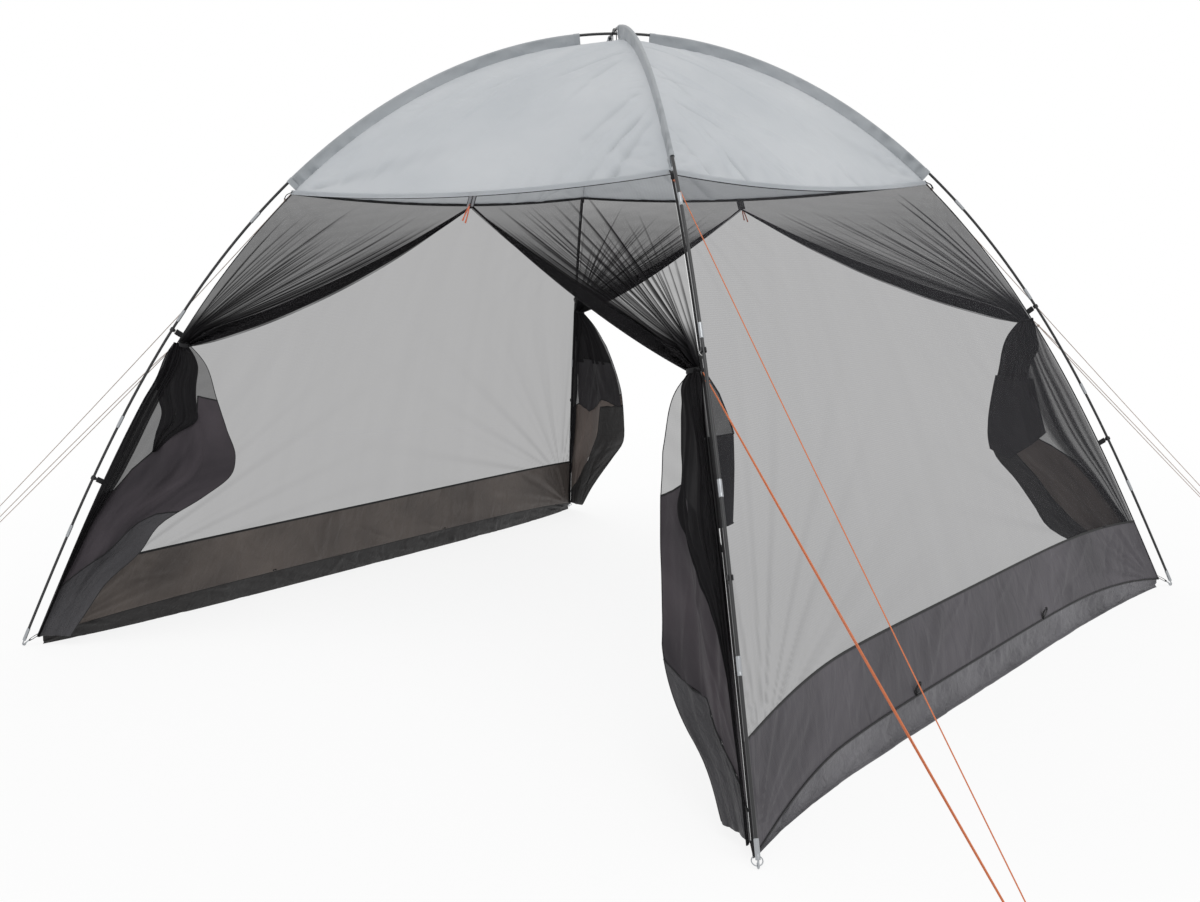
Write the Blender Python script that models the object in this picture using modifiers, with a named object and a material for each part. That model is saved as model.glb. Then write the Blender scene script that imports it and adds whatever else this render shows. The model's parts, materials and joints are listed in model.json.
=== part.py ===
"""Mosquito net tent: two crossing arch poles carry a domed canopy over four net walls, two of them doors.

Metres, +Z up. The origin is on the ground under the middle of the tent. The front door faces -Y and the
rear door +Y, and the closed walls stand at +X and -X. Run it in Blender's text editor, or with
blender --background --python part.py.
"""

import math

import bmesh
import bpy
import numpy as np
from mathutils import Matrix, Vector

# Arch poles
POLE_FOOT_HALF = 1.527  # of the square on which the four pole ends stand
POLE_FOOT_HEIGHT = 0.020  # the pole's end over the ground, carried by its corner pin
POLE_HEIGHT = 2.108  # mean height of the two poles' middle lines at the crossing
POLE_FOOT_ANGLE = math.radians(64.2)  # lean of the pole at its foot, from level
POLE_DIAMETER = 0.0095
POLE_SIDES = 8
CROSSING_GAP = 0.0006
SECTION_PITCH = 0.431
SECTIONS_PER_LEG = 4
SECTION_BENDS = 3  # straight facets along one bent section
CROWN_LEAD = 0.046  # length of the crown's short facets next to a joint
CROWN_FACETS = 3
FERRULE_DIAMETER = 0.0122
FERRULE_LENGTH = 0.046
FERRULE_CHAMFER = 0.0008
SOCKET_CLEARANCE = 0.0004
BUTT_GAP = 0.0004
TIP_LENGTH = 0.047

# Corner pins and rings
PIN_DIAMETER = 0.0048
PIN_DEPTH = 0.030  # how far the pin reaches into the pole's end
PIN_TIP_RISE = 0.0075
CROOK_RADIUS = 0.0046  # of the middle line of the pin's hook
CROOK_POINTS = 6
RING_DIAMETER = 0.026  # of the middle line of its wire
RING_WIRE = 0.0028
RING_LEAN = math.radians(32)  # between the ring and the pole, towards the tent

# Canopy, with a hollow sleeve standing on each ridge
CLOTH_THICKNESS = 0.002
SEAM_GAP = 0.0004
HEM_GAP = 0.0012
CORNER_BUTT = 0.006  # a curtain's side seam stands this far in from the corner, inside the wall's edge
CANOPY_EDGE_UP_POLE = 1.870  # where the canopy's corner lies, along the pole from its foot
RIDGE_DROP = 0.038  # from the pole's middle line down to the canopy's ridge
HEM_SAG = 0.035
PANEL_BULGE = 0.022
HALF_PANEL_COLUMNS = 4
SLEEVE_START_UP_POLE = 1.892
SLEEVE_END_FROM_TOP = 0.125
SLEEVE_CLEARANCE = 0.0006
SLEEVE_ROWS = 10
SLEEVE_ARC_POINTS = 6
SLEEVE_SEAM_HALF = 0.0024
SLEEVE_SEAM_INNER_HALF = 0.0008

# Walls
WALL_DROP = 0.040  # from the pole's middle line in to the corner seam
WALL_FOOT_UP_POLE = 0.030
BAND_TOP_UP_POLE = 0.290
BAND_SEAM_HEIGHT = 0.082
BAND_INSET = 0.090  # how far the middle of a closed wall's lower seam stands in from its corners
FLAP_REACH = 0.020
FLAP_LIP = 0.016  # flat on the ground
FLAP_END_GAP = 0.085  # the mud flap stops this far from each corner
FLAP_END_SHARE = 0.4  # of its full reach, left at its two ends
WALL_ROWS = 7
BAND_ROWS = 3

# Doors, each of two curtains that are tied back at their corners
ZIP_STUB = 0.036  # closed length left at the top
ZIP_OFF_MIDDLE = {-1: 0.055, 1: 0.0}  # the front zip is drawn towards front_right, the rear is central
ZIP_GAP = 0.0032
TIE_UP_POLE = 1.205
TIE_INSET = 0.022
TIE_DROP = 0.012
BUNDLE_WIDTH = 0.075
BUNDLE_FOLD = 0.008
DOOR_EDGE_SAG = 0.062
CURTAIN_REACH = 0.460
CURTAIN_FOLD = 0.030
CURTAIN_FOLD_OUT_SHARE = 0.6  # how far the folds lie inside its plane, as a share of their depth
CURTAIN_SEAM_SHARE = 0.17  # of the width, over which the folds grow from the flat corner seam
CURTAIN_FOLDS = 4
CURTAIN_COLUMNS = 18
CURTAIN_TOP_ROWS = 6
CURTAIN_LOW_ROWS = 9
CURTAIN_HEM_CLEAR = 0.004
# Each tied curtain hangs in a plane of its own, turned from the door's plane towards the inside
CURTAIN_TURNS = {
    "front_right": math.radians(25),
    "front_left": math.radians(30),
    "rear_right": math.radians(30),
    "rear_left": math.radians(15),
}
# Its width, as shares of the reach, at shares of its way from the tie down to the ground
CURTAIN_DROP_SHARES = (0.0, 0.06, 0.20, 0.30, 0.40, 0.46, 0.53, 0.62, 0.72, 0.82, 0.90, 1.0)
CURTAIN_WIDTH_SHARES = {
    "front_right": (0.16, 0.26, 0.48, 0.57, 0.63, 0.66, 0.67, 0.70, 0.73, 0.59, 0.37, 0.22),
    "front_left": (0.16, 0.30, 0.61, 0.80, 0.98, 1.0, 0.87, 0.67, 0.57, 0.41, 0.35, 0.28),
    "rear_right": (0.16, 0.24, 0.48, 0.63, 0.76, 0.82, 0.85, 0.78, 0.73, 0.67, 0.43, 0.26),
    "rear_left": (0.16, 0.28, 0.59, 0.74, 0.84, 0.87, 0.89, 0.89, 0.72, 0.52, 0.37, 0.22),
}

# Hook clips between the poles and the corner seams
CLIP_CLEARANCE = 0.0005
CLIP_WALL = 0.0032
CLIP_WIDTH = 0.013
CLIP_ARM_HALF = 0.0022
CLIP_MOUTH = math.radians(80)
CLIP_ARC_POINTS = 9
CLIPS_UP_POLE = {"upper": 1.236, "lower": 0.640}

# Door zip sliders and their pulls
SLIDER_WIDTH = 0.0095
SLIDER_LENGTH = 0.013
SLIDER_PLATE = 0.0015
SLIDER_POST = 0.0022
SLIDER_CLEARANCE = 0.0006
SLIDER_OVERLAP = 0.001  # how far the slider sits below the closed length
BRIDGE_REACH = 0.0056
BRIDGE_HALF = 0.0034
BRIDGE_WIRE = 0.0012
BRIDGE_POINTS = 5
PULL_RING = 0.0064  # diameter of the middle line of its eye
PULL_WIRE = 0.0013
PULL_TAIL = 0.030
PULL_TAIL_WIDTH = 0.0030

# Tie at the crossing
TIE_WIRE = 0.0030
TIE_CLEARANCE = 0.0008
TIE_POINTS = 14

# Guy lines
GUY_DIAMETER = 0.003
GUY_POINTS = 24
GUY_SAG_SHARE = 0.004
GUY_NET_ROWS = {"upper": 0, "lower": 3}  # the rows of the wall net at whose corners they start
GUY_PEG_APART = 0.048  # between the ground ends of one corner's two guys
PEG_POINTS = {
    "front_right": (2.33, -1.73),
    "front_left": (-2.43, -1.53),
    "rear_right": (1.63, 2.43),
}

ARCH_STEPS = 1201
MERGE = 0.00001
TORUS_SEGMENTS, TORUS_SIDES = 16, 6
CORNERS = {"front_right": (1, -1), "front_left": (-1, -1), "rear_right": (1, 1), "rear_left": (-1, 1)}
CROWN_ENDS = {"front_right": "rear_left", "front_left": "rear_right"}
UPPER_POLE = ("front_right", "rear_left")

COLOURS = {
    "pole": ((0.012, 0.012, 0.013), 0.35, 0.0),
    "steel": ((0.62, 0.62, 0.60), 0.28, 1.0),
    "canopy": ((0.50, 0.53, 0.56), 0.55, 0.0),
    "net": ((0.055, 0.055, 0.060), 0.70, 0.0),
    "band": ((0.085, 0.083, 0.090), 0.60, 0.0),
    "flap": ((0.15, 0.15, 0.165), 0.45, 0.0),
    "clip": ((0.014, 0.014, 0.015), 0.40, 0.0),
    "orange": ((0.55, 0.13, 0.055), 0.60, 0.0),
}


def clear_scene():
    for obj in list(bpy.data.objects):
        bpy.data.objects.remove(obj, do_unlink=True)


def new_collection(name, hidden=False):
    collection = bpy.data.collections.new(name)
    bpy.context.scene.collection.children.link(collection)
    collection.hide_render = hidden
    return collection


def material(kind):
    found = bpy.data.materials.get(kind)
    if found:
        return found
    colour, roughness, metallic = COLOURS[kind]
    made = bpy.data.materials.new(kind)
    made.use_nodes = True
    shader = made.node_tree.nodes["Principled BSDF"]
    shader.inputs["Base Color"].default_value = (*colour, 1)
    shader.inputs["Roughness"].default_value = roughness
    shader.inputs["Metallic"].default_value = metallic
    made.diffuse_color = (*colour, 1)
    return made


def add_mesh(name, points, faces, kind, where, smooth=False, turn_out=True):
    """One object from points and faces, with its doubles merged and its faces turned outwards."""
    mesh = bpy.data.meshes.new(name)
    mesh.from_pydata([tuple(p) for p in points], [], [tuple(f) for f in faces])
    shape = bmesh.new()
    shape.from_mesh(mesh)
    bmesh.ops.remove_doubles(shape, verts=shape.verts, dist=MERGE)
    if turn_out:
        bmesh.ops.recalc_face_normals(shape, faces=shape.faces)
    shape.to_mesh(mesh)
    shape.free()
    obj = bpy.data.objects.new(name, mesh)
    where.objects.link(obj)
    mesh.materials.append(material(kind))
    if smooth:
        mesh.shade_smooth()
        mesh.set_sharp_from_angle(angle=math.radians(40))
    return obj


def evaluated_mesh(obj):
    graph = bpy.context.evaluated_depsgraph_get()
    return bpy.data.meshes.new_from_object(obj.evaluated_get(graph))


class Arch:
    """The middle line of an arch pole in its own upright plane.

    It holds the reach r from the middle and the height z, against the way s up the pole from its foot. The
    lean grows from level at the top to the foot angle as 1 - (1 - u)^2.
    """

    def __init__(self, top):
        down = np.linspace(0, 1, ARCH_STEPS)
        lean = POLE_FOOT_ANGLE * (1 - (1 - down) ** 2)
        r = np.concatenate([[0], np.cumsum(np.cos(lean[1:]) + np.cos(lean[:-1]))])
        z = np.concatenate([[0], np.cumsum(np.sin(lean[1:]) + np.sin(lean[:-1]))])
        r = r / r[-1] * POLE_FOOT_HALF * math.sqrt(2)
        z = top - z / z[-1] * (top - POLE_FOOT_HEIGHT)
        self.r, self.z = r[::-1], z[::-1]
        self.s = np.concatenate([[0], np.cumsum(np.hypot(np.diff(self.r), np.diff(self.z)))])
        self.length = self.s[-1]

    def at(self, s):
        """Reach, height and unit way up the pole, at a way s that may pass over the top to the other leg."""
        s = np.asarray(s, float)
        over = s > self.length
        own = np.where(over, 2 * self.length - s, s)
        r, z = np.interp(own, self.s, self.r), np.interp(own, self.s, self.z)
        slope_r = np.interp(own, self.s, np.gradient(self.r, self.s))
        slope_z = np.interp(own, self.s, np.gradient(self.z, self.s))
        size = np.hypot(slope_r, slope_z)
        sign = np.where(over, -1, 1)
        return sign * r, z, slope_r / size, sign * slope_z / size

    def in_space(self, corner, s, out=0.0):
        """Points in space, moved by out square to the pole, away from the tent."""
        r, z, run, rise = self.at(s)
        # The outward normal is the way up the pole, turned a quarter.
        r, z = r + out * rise, z - out * run
        way = np.array(CORNERS[corner]) / math.sqrt(2)
        return np.stack([r * way[0], r * way[1], z], axis=-1)


def crossing_shift():
    return (POLE_DIAMETER + CROSSING_GAP) / 2


def pole_arch(corner):
    sign = 1 if corner in UPPER_POLE else -1
    return Arch(POLE_HEIGHT + sign * crossing_shift())


def pole_axes(arch, corner, s):
    """Sideways, outward and upward unit vectors at each way s, right-handed in that order."""
    run, rise = arch.at(s)[2:]
    way = np.array(CORNERS[corner]) / math.sqrt(2)
    up = np.stack([run * way[0], run * way[1], rise], axis=-1)
    out = np.stack([rise * way[0], rise * way[1], -run], axis=-1)
    return np.cross(out, up), out, up


def turned(name, profile, sides, kind, where):
    """A Screw of the profile, given as (radius, height) from the lower end of the axis to the upper one."""
    mesh = bpy.data.meshes.new(name)
    mesh.from_pydata([(r, 0, h) for r, h in profile], [(i, i + 1) for i in range(len(profile) - 1)], [])
    obj = bpy.data.objects.new(name, mesh)
    where.objects.link(obj)
    screw = obj.modifiers.new("turn", "SCREW")
    screw.axis = "Z"
    screw.steps = screw.render_steps = sides
    screw.use_merge_vertices = True
    screw.merge_threshold = MERGE
    solid = evaluated_mesh(obj)
    bpy.data.objects.remove(obj, do_unlink=True)
    bpy.data.meshes.remove(mesh)
    solid.name = name
    shape = bmesh.new()
    shape.from_mesh(solid)
    bmesh.ops.remove_doubles(shape, verts=shape.verts, dist=MERGE)
    bmesh.ops.recalc_face_normals(shape, faces=shape.faces)
    shape.to_mesh(solid)
    shape.free()
    made = bpy.data.objects.new(name, solid)
    where.objects.link(made)
    solid.materials.append(material(kind))
    solid.shade_smooth()
    solid.set_sharp_from_angle(angle=math.radians(50))
    return made


def bend_along(obj, arch, corner):
    """Bends a piece turned along Z so that its height becomes the way up the pole."""
    mesh = obj.data
    flat = np.empty(len(mesh.vertices) * 3)
    mesh.vertices.foreach_get("co", flat)
    flat = flat.reshape(-1, 3)
    side, out = pole_axes(arch, corner, flat[:, 2])[:2]
    bent = arch.in_space(corner, flat[:, 2]) + side * flat[:, :1] + out * flat[:, 1:2]
    mesh.vertices.foreach_set("co", bent.ravel())
    mesh.update()


def pole_section(corner, number, where):
    """One section with the steel ferrule on its upper end, whose mouth takes the next section."""
    rod, ferrule = POLE_DIAMETER / 2, FERRULE_DIAMETER / 2
    joint = number * SECTION_PITCH
    start = (number - 1) * SECTION_PITCH + BUTT_GAP
    mouth = joint + FERRULE_LENGTH / 2
    bore = rod + SOCKET_CLEARANCE
    if number == 1:
        pin_bore = PIN_DIAMETER / 2 + SOCKET_CLEARANCE
        profile = [(0, PIN_DEPTH + BUTT_GAP), (pin_bore, PIN_DEPTH + BUTT_GAP), (pin_bore, 0)]
        profile += [(ferrule - FERRULE_CHAMFER, 0), (ferrule, FERRULE_CHAMFER), (ferrule, TIP_LENGTH)]
        profile += [(rod, TIP_LENGTH)]
        start = TIP_LENGTH
    else:
        profile = [(0, start), (rod, start)]
    under = joint - FERRULE_LENGTH / 2
    for step in range(1, SECTION_BENDS):
        profile.append((rod, start + (under - start) * step / SECTION_BENDS))
    profile += [(rod, under), (ferrule, under), (ferrule, mouth - FERRULE_CHAMFER)]
    profile += [(ferrule - FERRULE_CHAMFER, mouth), (bore, mouth), (bore, joint), (0, joint)]
    section = turned(f"{corner}_pole_section_{number}", profile, POLE_SIDES, "pole", where)
    section.data.materials.append(material("steel"))
    for polygon in section.data.polygons:
        if polygon.center.z < TIP_LENGTH or polygon.center.z > under:
            polygon.material_index = 1
    bend_along(section, pole_arch(corner), corner)


def sleeve_stations(arch):
    """Ways up this pole that lie over the canopy's own rows, which are set on the mean pole."""
    mean = Arch(POLE_HEIGHT).length
    ways = np.linspace(SLEEVE_START_UP_POLE, mean - SLEEVE_END_FROM_TOP, SLEEVE_ROWS + 1)
    return ways * arch.length / mean


def crown_pole(corner, where):
    """The joined sections over the top, hidden by the sleeves, from one leg's last joint to the other's."""
    arch, rod = pole_arch(corner), POLE_DIAMETER / 2
    start = SECTIONS_PER_LEG * SECTION_PITCH + BUTT_GAP
    ways = [*[start + CROWN_LEAD * step for step in range(CROWN_FACETS)], *sleeve_stations(arch)]
    ways = [*ways, arch.length, *[2 * arch.length - way for way in reversed(ways)]]
    profile = [(0, ways[0]), *[(rod, way) for way in ways], (0, ways[-1])]
    crown = turned(f"crown_pole_{corner}_to_{CROWN_ENDS[corner]}", profile, POLE_SIDES, "pole", where)
    bend_along(crown, arch, corner)


def sleeve(corner, where):
    """A flat sleeve along the ridge: round over the pole, drawn in to its seam, and open at both ends."""
    arch, cloth = pole_arch(corner), Arch(POLE_HEIGHT)
    inner = POLE_DIAMETER / 2 + SLEEVE_CLEARANCE
    outer = inner + CLOTH_THICKNESS
    ways = sleeve_stations(arch)
    side, out = pole_axes(arch, corner, ways)[:2]
    centre = arch.in_space(corner, ways)
    seam = cloth.in_space(corner, ways * cloth.length / arch.length, SEAM_GAP - RIDGE_DROP)
    depth = ((centre - seam) * out).sum(axis=1)
    turns = np.linspace(0, math.pi, SLEEVE_ARC_POINTS)

    def loop(radius, foot_half, lift):
        arc = [(radius * math.cos(turn), radius * math.sin(turn), 0) for turn in turns]
        arc += [(-foot_half, lift, 1), (foot_half, lift, 1)]
        return arc

    points = []
    outside, inside = (outer, SLEEVE_SEAM_HALF, 0), (inner, SLEEVE_SEAM_INNER_HALF, CLOTH_THICKNESS)
    for radius, foot_half, lift in (outside, inside):
        for row in range(len(ways)):
            for across, up, low in loop(radius, foot_half, lift):
                height = up - depth[row] if low else up
                points.append(centre[row] + side[row] * across + out[row] * height)
    count = SLEEVE_ARC_POINTS + 2
    rows = len(ways)
    faces = []
    for shell, flip in ((0, 1), (rows * count, -1)):
        for row in range(rows - 1):
            for i in range(count):
                j = (i + 1) % count
                near, far = shell + row * count, shell + (row + 1) * count
                faces.append((near + i, near + j, far + j, far + i)[::flip])
    for row, flip in ((0, -1), (rows - 1, 1)):
        for i in range(count):
            j = (i + 1) % count
            near, far = row * count, (rows + row) * count
            faces.append((near + i, near + j, far + j, far + i)[::flip])
    add_mesh(f"{corner}_pole_sleeve", points, faces, "canopy", where)


def hem_drop(across):
    """How far the canopy's hem hangs under its corners, at shares across, straight between its columns."""
    columns = np.linspace(-1, 1, 2 * HALF_PANEL_COLUMNS + 1)
    return np.interp(across, columns, HEM_SAG * (1 - columns**2))


def corner_drop(way):
    """How far the walls' corner line lies in from the mean pole."""
    share = (CANOPY_EDGE_UP_POLE - way) / (CANOPY_EDGE_UP_POLE - WALL_FOOT_UP_POLE)
    return RIDGE_DROP + (WALL_DROP - RIDGE_DROP) * share


def seam_at(up_pole, drop):
    """Half width and height of the cloth's corner line, at a way up the mean pole."""
    r, z, run, rise = Arch(POLE_HEIGHT).at(up_pole)
    return (r - drop * rise) / math.sqrt(2), z + drop * run


def shell(name, grid, kind, where, wrap=False, grow=-1):
    """A cloth of even thickness from a grid of points, on the inner or the outer side of its face normals."""
    rows, columns = grid.shape[:2]
    index = np.arange(rows * columns).reshape(rows, columns)
    faces = []
    for row in range(rows - 1):
        for column in range(columns if wrap else columns - 1):
            beside = (column + 1) % columns
            upper, lower = index[row], index[row + 1]
            faces.append((upper[column], lower[column], lower[beside], upper[beside]))
    cloth = add_mesh(name, grid.reshape(-1, 3), faces, kind, where, smooth=True, turn_out=False)
    thick = cloth.modifiers.new("thickness", "SOLIDIFY")
    thick.thickness = CLOTH_THICKNESS
    thick.offset = grow
    thick.use_even_offset = True
    return cloth


def canopy(where):
    """Four arched panels sewn into one cover, whose level lines run from ridge to ridge, a little bulged."""
    mean = Arch(POLE_HEIGHT)
    columns = np.arange(2 * HALF_PANEL_COLUMNS) / HALF_PANEL_COLUMNS - 1
    belly = 1 - columns**2
    rows = [np.tile((0, 0, POLE_HEIGHT - RIDGE_DROP), (4 * len(columns), 1))]
    for way in [*sleeve_stations(mean)[::-1], CANOPY_EDGE_UP_POLE]:
        half, height = seam_at(way, RIDGE_DROP)
        share = (mean.length - way) / (mean.length - CANOPY_EDGE_UP_POLE)
        panel = np.stack([columns * half, -half - PANEL_BULGE * math.sin(math.pi * share) * belly,
                          height - HEM_SAG * belly * share**2], axis=-1)
        turns = [np.array(Matrix.Rotation(turn * math.pi / 2, 3, "Z")) for turn in range(4)]
        rows.append(np.concatenate([panel @ turn.T for turn in turns]))
    shell("canopy", np.stack(rows), "canopy", where, wrap=True)


def wall_columns():
    panel = np.linspace(-1, 1, 2 * HALF_PANEL_COLUMNS + 1)
    near = 1 - 2 * FLAP_END_GAP / (2 * POLE_FOOT_HALF)
    return np.sort(np.concatenate([panel, [-near, near]]))


def wall_surface(ways, columns, gap_top=0.0, gap_foot=0.0):
    """The right-hand closed wall, as points over ways up the pole and shares across from -1 to 1."""
    grid = np.empty((len(ways), len(columns), 3))
    for row, way in enumerate(ways):
        share = (CANOPY_EDGE_UP_POLE - way) / (CANOPY_EDGE_UP_POLE - WALL_FOOT_UP_POLE)
        half, height = seam_at(way, corner_drop(way))
        foot_half, foot_height = seam_at(WALL_FOOT_UP_POLE, WALL_DROP)
        middle = 1 - columns**8
        inset = BAND_INSET * share**2 * middle
        lift = (BAND_SEAM_HEIGHT - foot_height) * share**4 * middle
        grid[row, :, 0] = half - inset
        grid[row, :, 1] = columns * (half - SEAM_GAP)
        grid[row, :, 2] = height + lift - hem_drop(columns) * (1 - share)
    grid[0, :, 2] -= gap_top
    grid[-1, :, 2] += gap_foot
    return grid


def mirrored(grid, sign):
    """The grid on the +X side, or turned half round onto the -X side."""
    return grid if sign > 0 else grid * np.array([-1, -1, 1])


def net_ways():
    """Ways up the pole of the wall net's rows, from the canopy's hem down to the band."""
    return np.linspace(CANOPY_EDGE_UP_POLE, BAND_TOP_UP_POLE, WALL_ROWS + 1)


def closed_wall(side, sign, where):
    columns = wall_columns()
    band_ways = np.linspace(BAND_TOP_UP_POLE, WALL_FOOT_UP_POLE, BAND_ROWS + 1)
    net = wall_surface(net_ways(), columns, HEM_GAP, SEAM_GAP)
    band = wall_surface(band_ways, columns)
    shell(f"{side}_wall_net", mirrored(net, sign), "net", where)
    shell(f"{side}_wall_band", mirrored(band, sign), "band", where)
    mud_flap(side, sign, band[-1], columns, where)


def mud_flap(side, sign, seam, columns, where):
    """A strip from the band's lower seam out to the ground, where its lip lies flat."""
    keep = np.abs(columns) < 1 - SEAM_GAP
    seam = seam[keep]
    top = seam.copy()
    top[:, 2] -= SEAM_GAP
    way_out = columns[keep] / columns[keep].max()
    spread = 1 - (1 - FLAP_END_SHARE) * way_out**6
    ground = seam.copy()
    ground[:, 0] = seam[:, 0] + FLAP_REACH * spread
    ground[:, 2] = 0
    edge = ground.copy()
    edge[:, 0] += FLAP_LIP * spread
    grid = np.stack([top, ground, edge])
    shell(f"{side}_mud_flap", mirrored(grid, sign), "flap", where, grow=1)


def curtain(corner, where):
    """Half a door, from the canopy's hem to the tie and on down to the corner, with folds out of the tie."""
    side, end = CORNERS[corner]
    columns = np.linspace(0, 1, CURTAIN_COLUMNS + 1)
    along, inside = np.array([-side, 0, 0]), np.array([0, -end, 0])
    hem_half, hem_height = seam_at(CANOPY_EDGE_UP_POLE, RIDGE_DROP)
    out_of_corner = np.array([side, end, 0])

    def corner_line(way):
        half, height = seam_at(way, corner_drop(way))
        return out_of_corner * half + along * CORNER_BUTT + np.array([0, 0, height])

    zip_x, corner_x = ZIP_OFF_MIDDLE[end] + side * ZIP_GAP / 2, side * (hem_half - CORNER_BUTT)
    hem_x = corner_x + (zip_x - corner_x) * columns
    hem_z = hem_height - HEM_GAP - hem_drop(hem_x / hem_half)
    hem = np.stack([hem_x, np.full_like(hem_x, end * hem_half), hem_z], axis=-1)
    fold = np.sin(2 * math.pi * CURTAIN_FOLDS * columns)
    tie = corner_line(TIE_UP_POLE)
    bundle = tie + along * TIE_INSET * np.sqrt(columns)[:, None]
    bundle += np.array([0, 0, -TIE_DROP]) * columns[:, None]
    bundle += along * BUNDLE_WIDTH * columns[:, None] + inside * BUNDLE_FOLD * (fold + columns)[:, None]
    fall = seam_fall()[0]
    stub = hem + np.outer(columns**3, fall * ZIP_STUB * np.array([1, end, 1]))
    rows = [hem, stub]
    for row in range(1, CURTAIN_TOP_ROWS + 1):
        share = row / CURTAIN_TOP_ROWS
        way = CANOPY_EDGE_UP_POLE + (TIE_UP_POLE - CANOPY_EDGE_UP_POLE) * share
        line = (stub - stub[0]) * (1 - share) + (bundle - bundle[0]) * share + corner_line(way)
        sag = 4 * share * (1 - share) * columns**2
        line[:, 2] -= DOOR_EDGE_SAG * sag
        line += inside * (DOOR_EDGE_SAG / 2 * sag + BUNDLE_FOLD * fold * share * (1 - share))[:, None]
        rows.append(line)
    turn = along * math.cos(CURTAIN_TURNS[corner]) + inside * math.sin(CURTAIN_TURNS[corner])
    square = -along * math.sin(CURTAIN_TURNS[corner]) + inside * math.cos(CURTAIN_TURNS[corner])
    flat_seam = np.sin(math.pi / 2 * np.minimum(columns / CURTAIN_SEAM_SHARE, 1))
    for row in range(1, CURTAIN_LOW_ROWS + 1):
        share = row / CURTAIN_LOW_ROWS
        way = TIE_UP_POLE + (WALL_FOOT_UP_POLE + CURTAIN_HEM_CLEAR - TIE_UP_POLE) * share
        spread = np.interp(share, CURTAIN_DROP_SHARES, CURTAIN_WIDTH_SHARES[corner])
        depth = CURTAIN_FOLD * spread * flat_seam * (fold + CURTAIN_FOLD_OUT_SHARE)
        line = corner_line(way) + turn * CURTAIN_REACH * spread * columns[:, None] + square * depth[:, None]
        line[:, 2] = np.maximum(line[:, 2], CLOTH_THICKNESS)
        rows.append(line)
    grid = np.stack(rows)
    if side * end < 0:
        grid = grid[:, ::-1]
    shell(f"{corner}_door_curtain", grid, "net", where)


def seam_fall():
    """Unit ways down along a door's zip and out of the tent, with y positive outwards."""
    half, height = seam_at(CANOPY_EDGE_UP_POLE, RIDGE_DROP)
    foot_half, foot_height = seam_at(WALL_FOOT_UP_POLE, WALL_DROP)
    run, rise = foot_half - half, foot_height - height
    size = math.hypot(run, rise)
    return np.array([0, run / size, rise / size]), np.array([0, -rise / size, run / size])


def hook_clip(corner, level, where):
    """A C hook on the pole and its tab to the corner seam, as one flat outline drawn across the pole."""
    way = CLIPS_UP_POLE[level]
    arch = pole_arch(corner)
    inner = POLE_DIAMETER / 2 + CLIP_CLEARANCE
    outer = inner + CLIP_WALL
    turns = np.linspace(CLIP_MOUTH / 2, 2 * math.pi - CLIP_MOUTH / 2, CLIP_ARC_POINTS)
    # Angles run from the outward way, so the mouth opens away from the tent and the arm lies at half a turn
    bore = inner / math.cos((turns[1] - turns[0]) / 2)
    ring = [(outer * math.sin(turn), outer * math.cos(turn)) for turn in turns]
    half = CLIP_ARC_POINTS // 2
    side, out, up = (axis[0] for axis in pole_axes(arch, corner, np.array([way])))
    middle = arch.in_space(corner, way)
    seam = Arch(POLE_HEIGHT).in_space(corner, way, -corner_drop(way))
    reach = (middle - seam) @ out - SEAM_GAP
    arm = [(CLIP_ARM_HALF, -outer), (CLIP_ARM_HALF, -reach), (-CLIP_ARM_HALF, -reach)]
    outline = ring[:half] + arm + [(-CLIP_ARM_HALF, -outer)] + ring[half + 1:]
    outline += [(bore * math.sin(turn), bore * math.cos(turn)) for turn in reversed(turns)]
    count = len(outline)
    ends = (-CLIP_WIDTH / 2, CLIP_WIDTH / 2)
    points = [middle + side * x + out * y + up * end for end in ends for x, y in outline]
    faces = [tuple(range(count)), tuple(range(2 * count - 1, count - 1, -1))]
    faces += [(i, (i + 1) % count, count + (i + 1) % count, count + i) for i in range(count)]
    add_mesh(f"{corner}_{level}_clip", points, faces, "clip", where)


def tube(name, points, diameter, kind, where, sides_resolution=2, cyclic=False):
    """A round wire through the points, made a mesh with its caps welded."""
    curve = bpy.data.curves.new(name, "CURVE")
    curve.dimensions = "3D"
    curve.bevel_depth = diameter / 2
    curve.bevel_resolution = sides_resolution
    curve.use_fill_caps = True
    spline = curve.splines.new("POLY")
    spline.points.add(len(points) - 1)
    for point, place in zip(spline.points, points):
        point.co = (*place, 1)
    spline.use_cyclic_u = cyclic
    obj = bpy.data.objects.new(name, curve)
    where.objects.link(obj)
    curve.materials.append(material(kind))
    return obj


def as_mesh(obj):
    """The curve's object as a mesh object of the same name, with its doubles welded."""
    name = obj.name
    collection = obj.users_collection[0]
    solid = evaluated_mesh(obj)
    shape = bmesh.new()
    shape.from_mesh(solid)
    bmesh.ops.remove_doubles(shape, verts=shape.verts, dist=MERGE)
    shape.to_mesh(solid)
    shape.free()
    bpy.data.objects.remove(obj, do_unlink=True)
    made = bpy.data.objects.new(name, solid)
    collection.objects.link(made)
    return made


def pin_frame(corner):
    """The crook's centre, with the sideways, outward and upward ways at the pole's foot."""
    arch = pole_arch(corner)
    side, out, up = (axis[0] for axis in pole_axes(arch, corner, np.array([0.0])))
    foot = arch.in_space(corner, 0.0)
    # The hook's lowest point touches the ground.
    fall = (foot[2] - (CROOK_RADIUS + PIN_DIAMETER / 2) + CROOK_RADIUS * -out[2]) / up[2]
    return foot, foot - up * fall - out * CROOK_RADIUS, side, out, up


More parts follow.
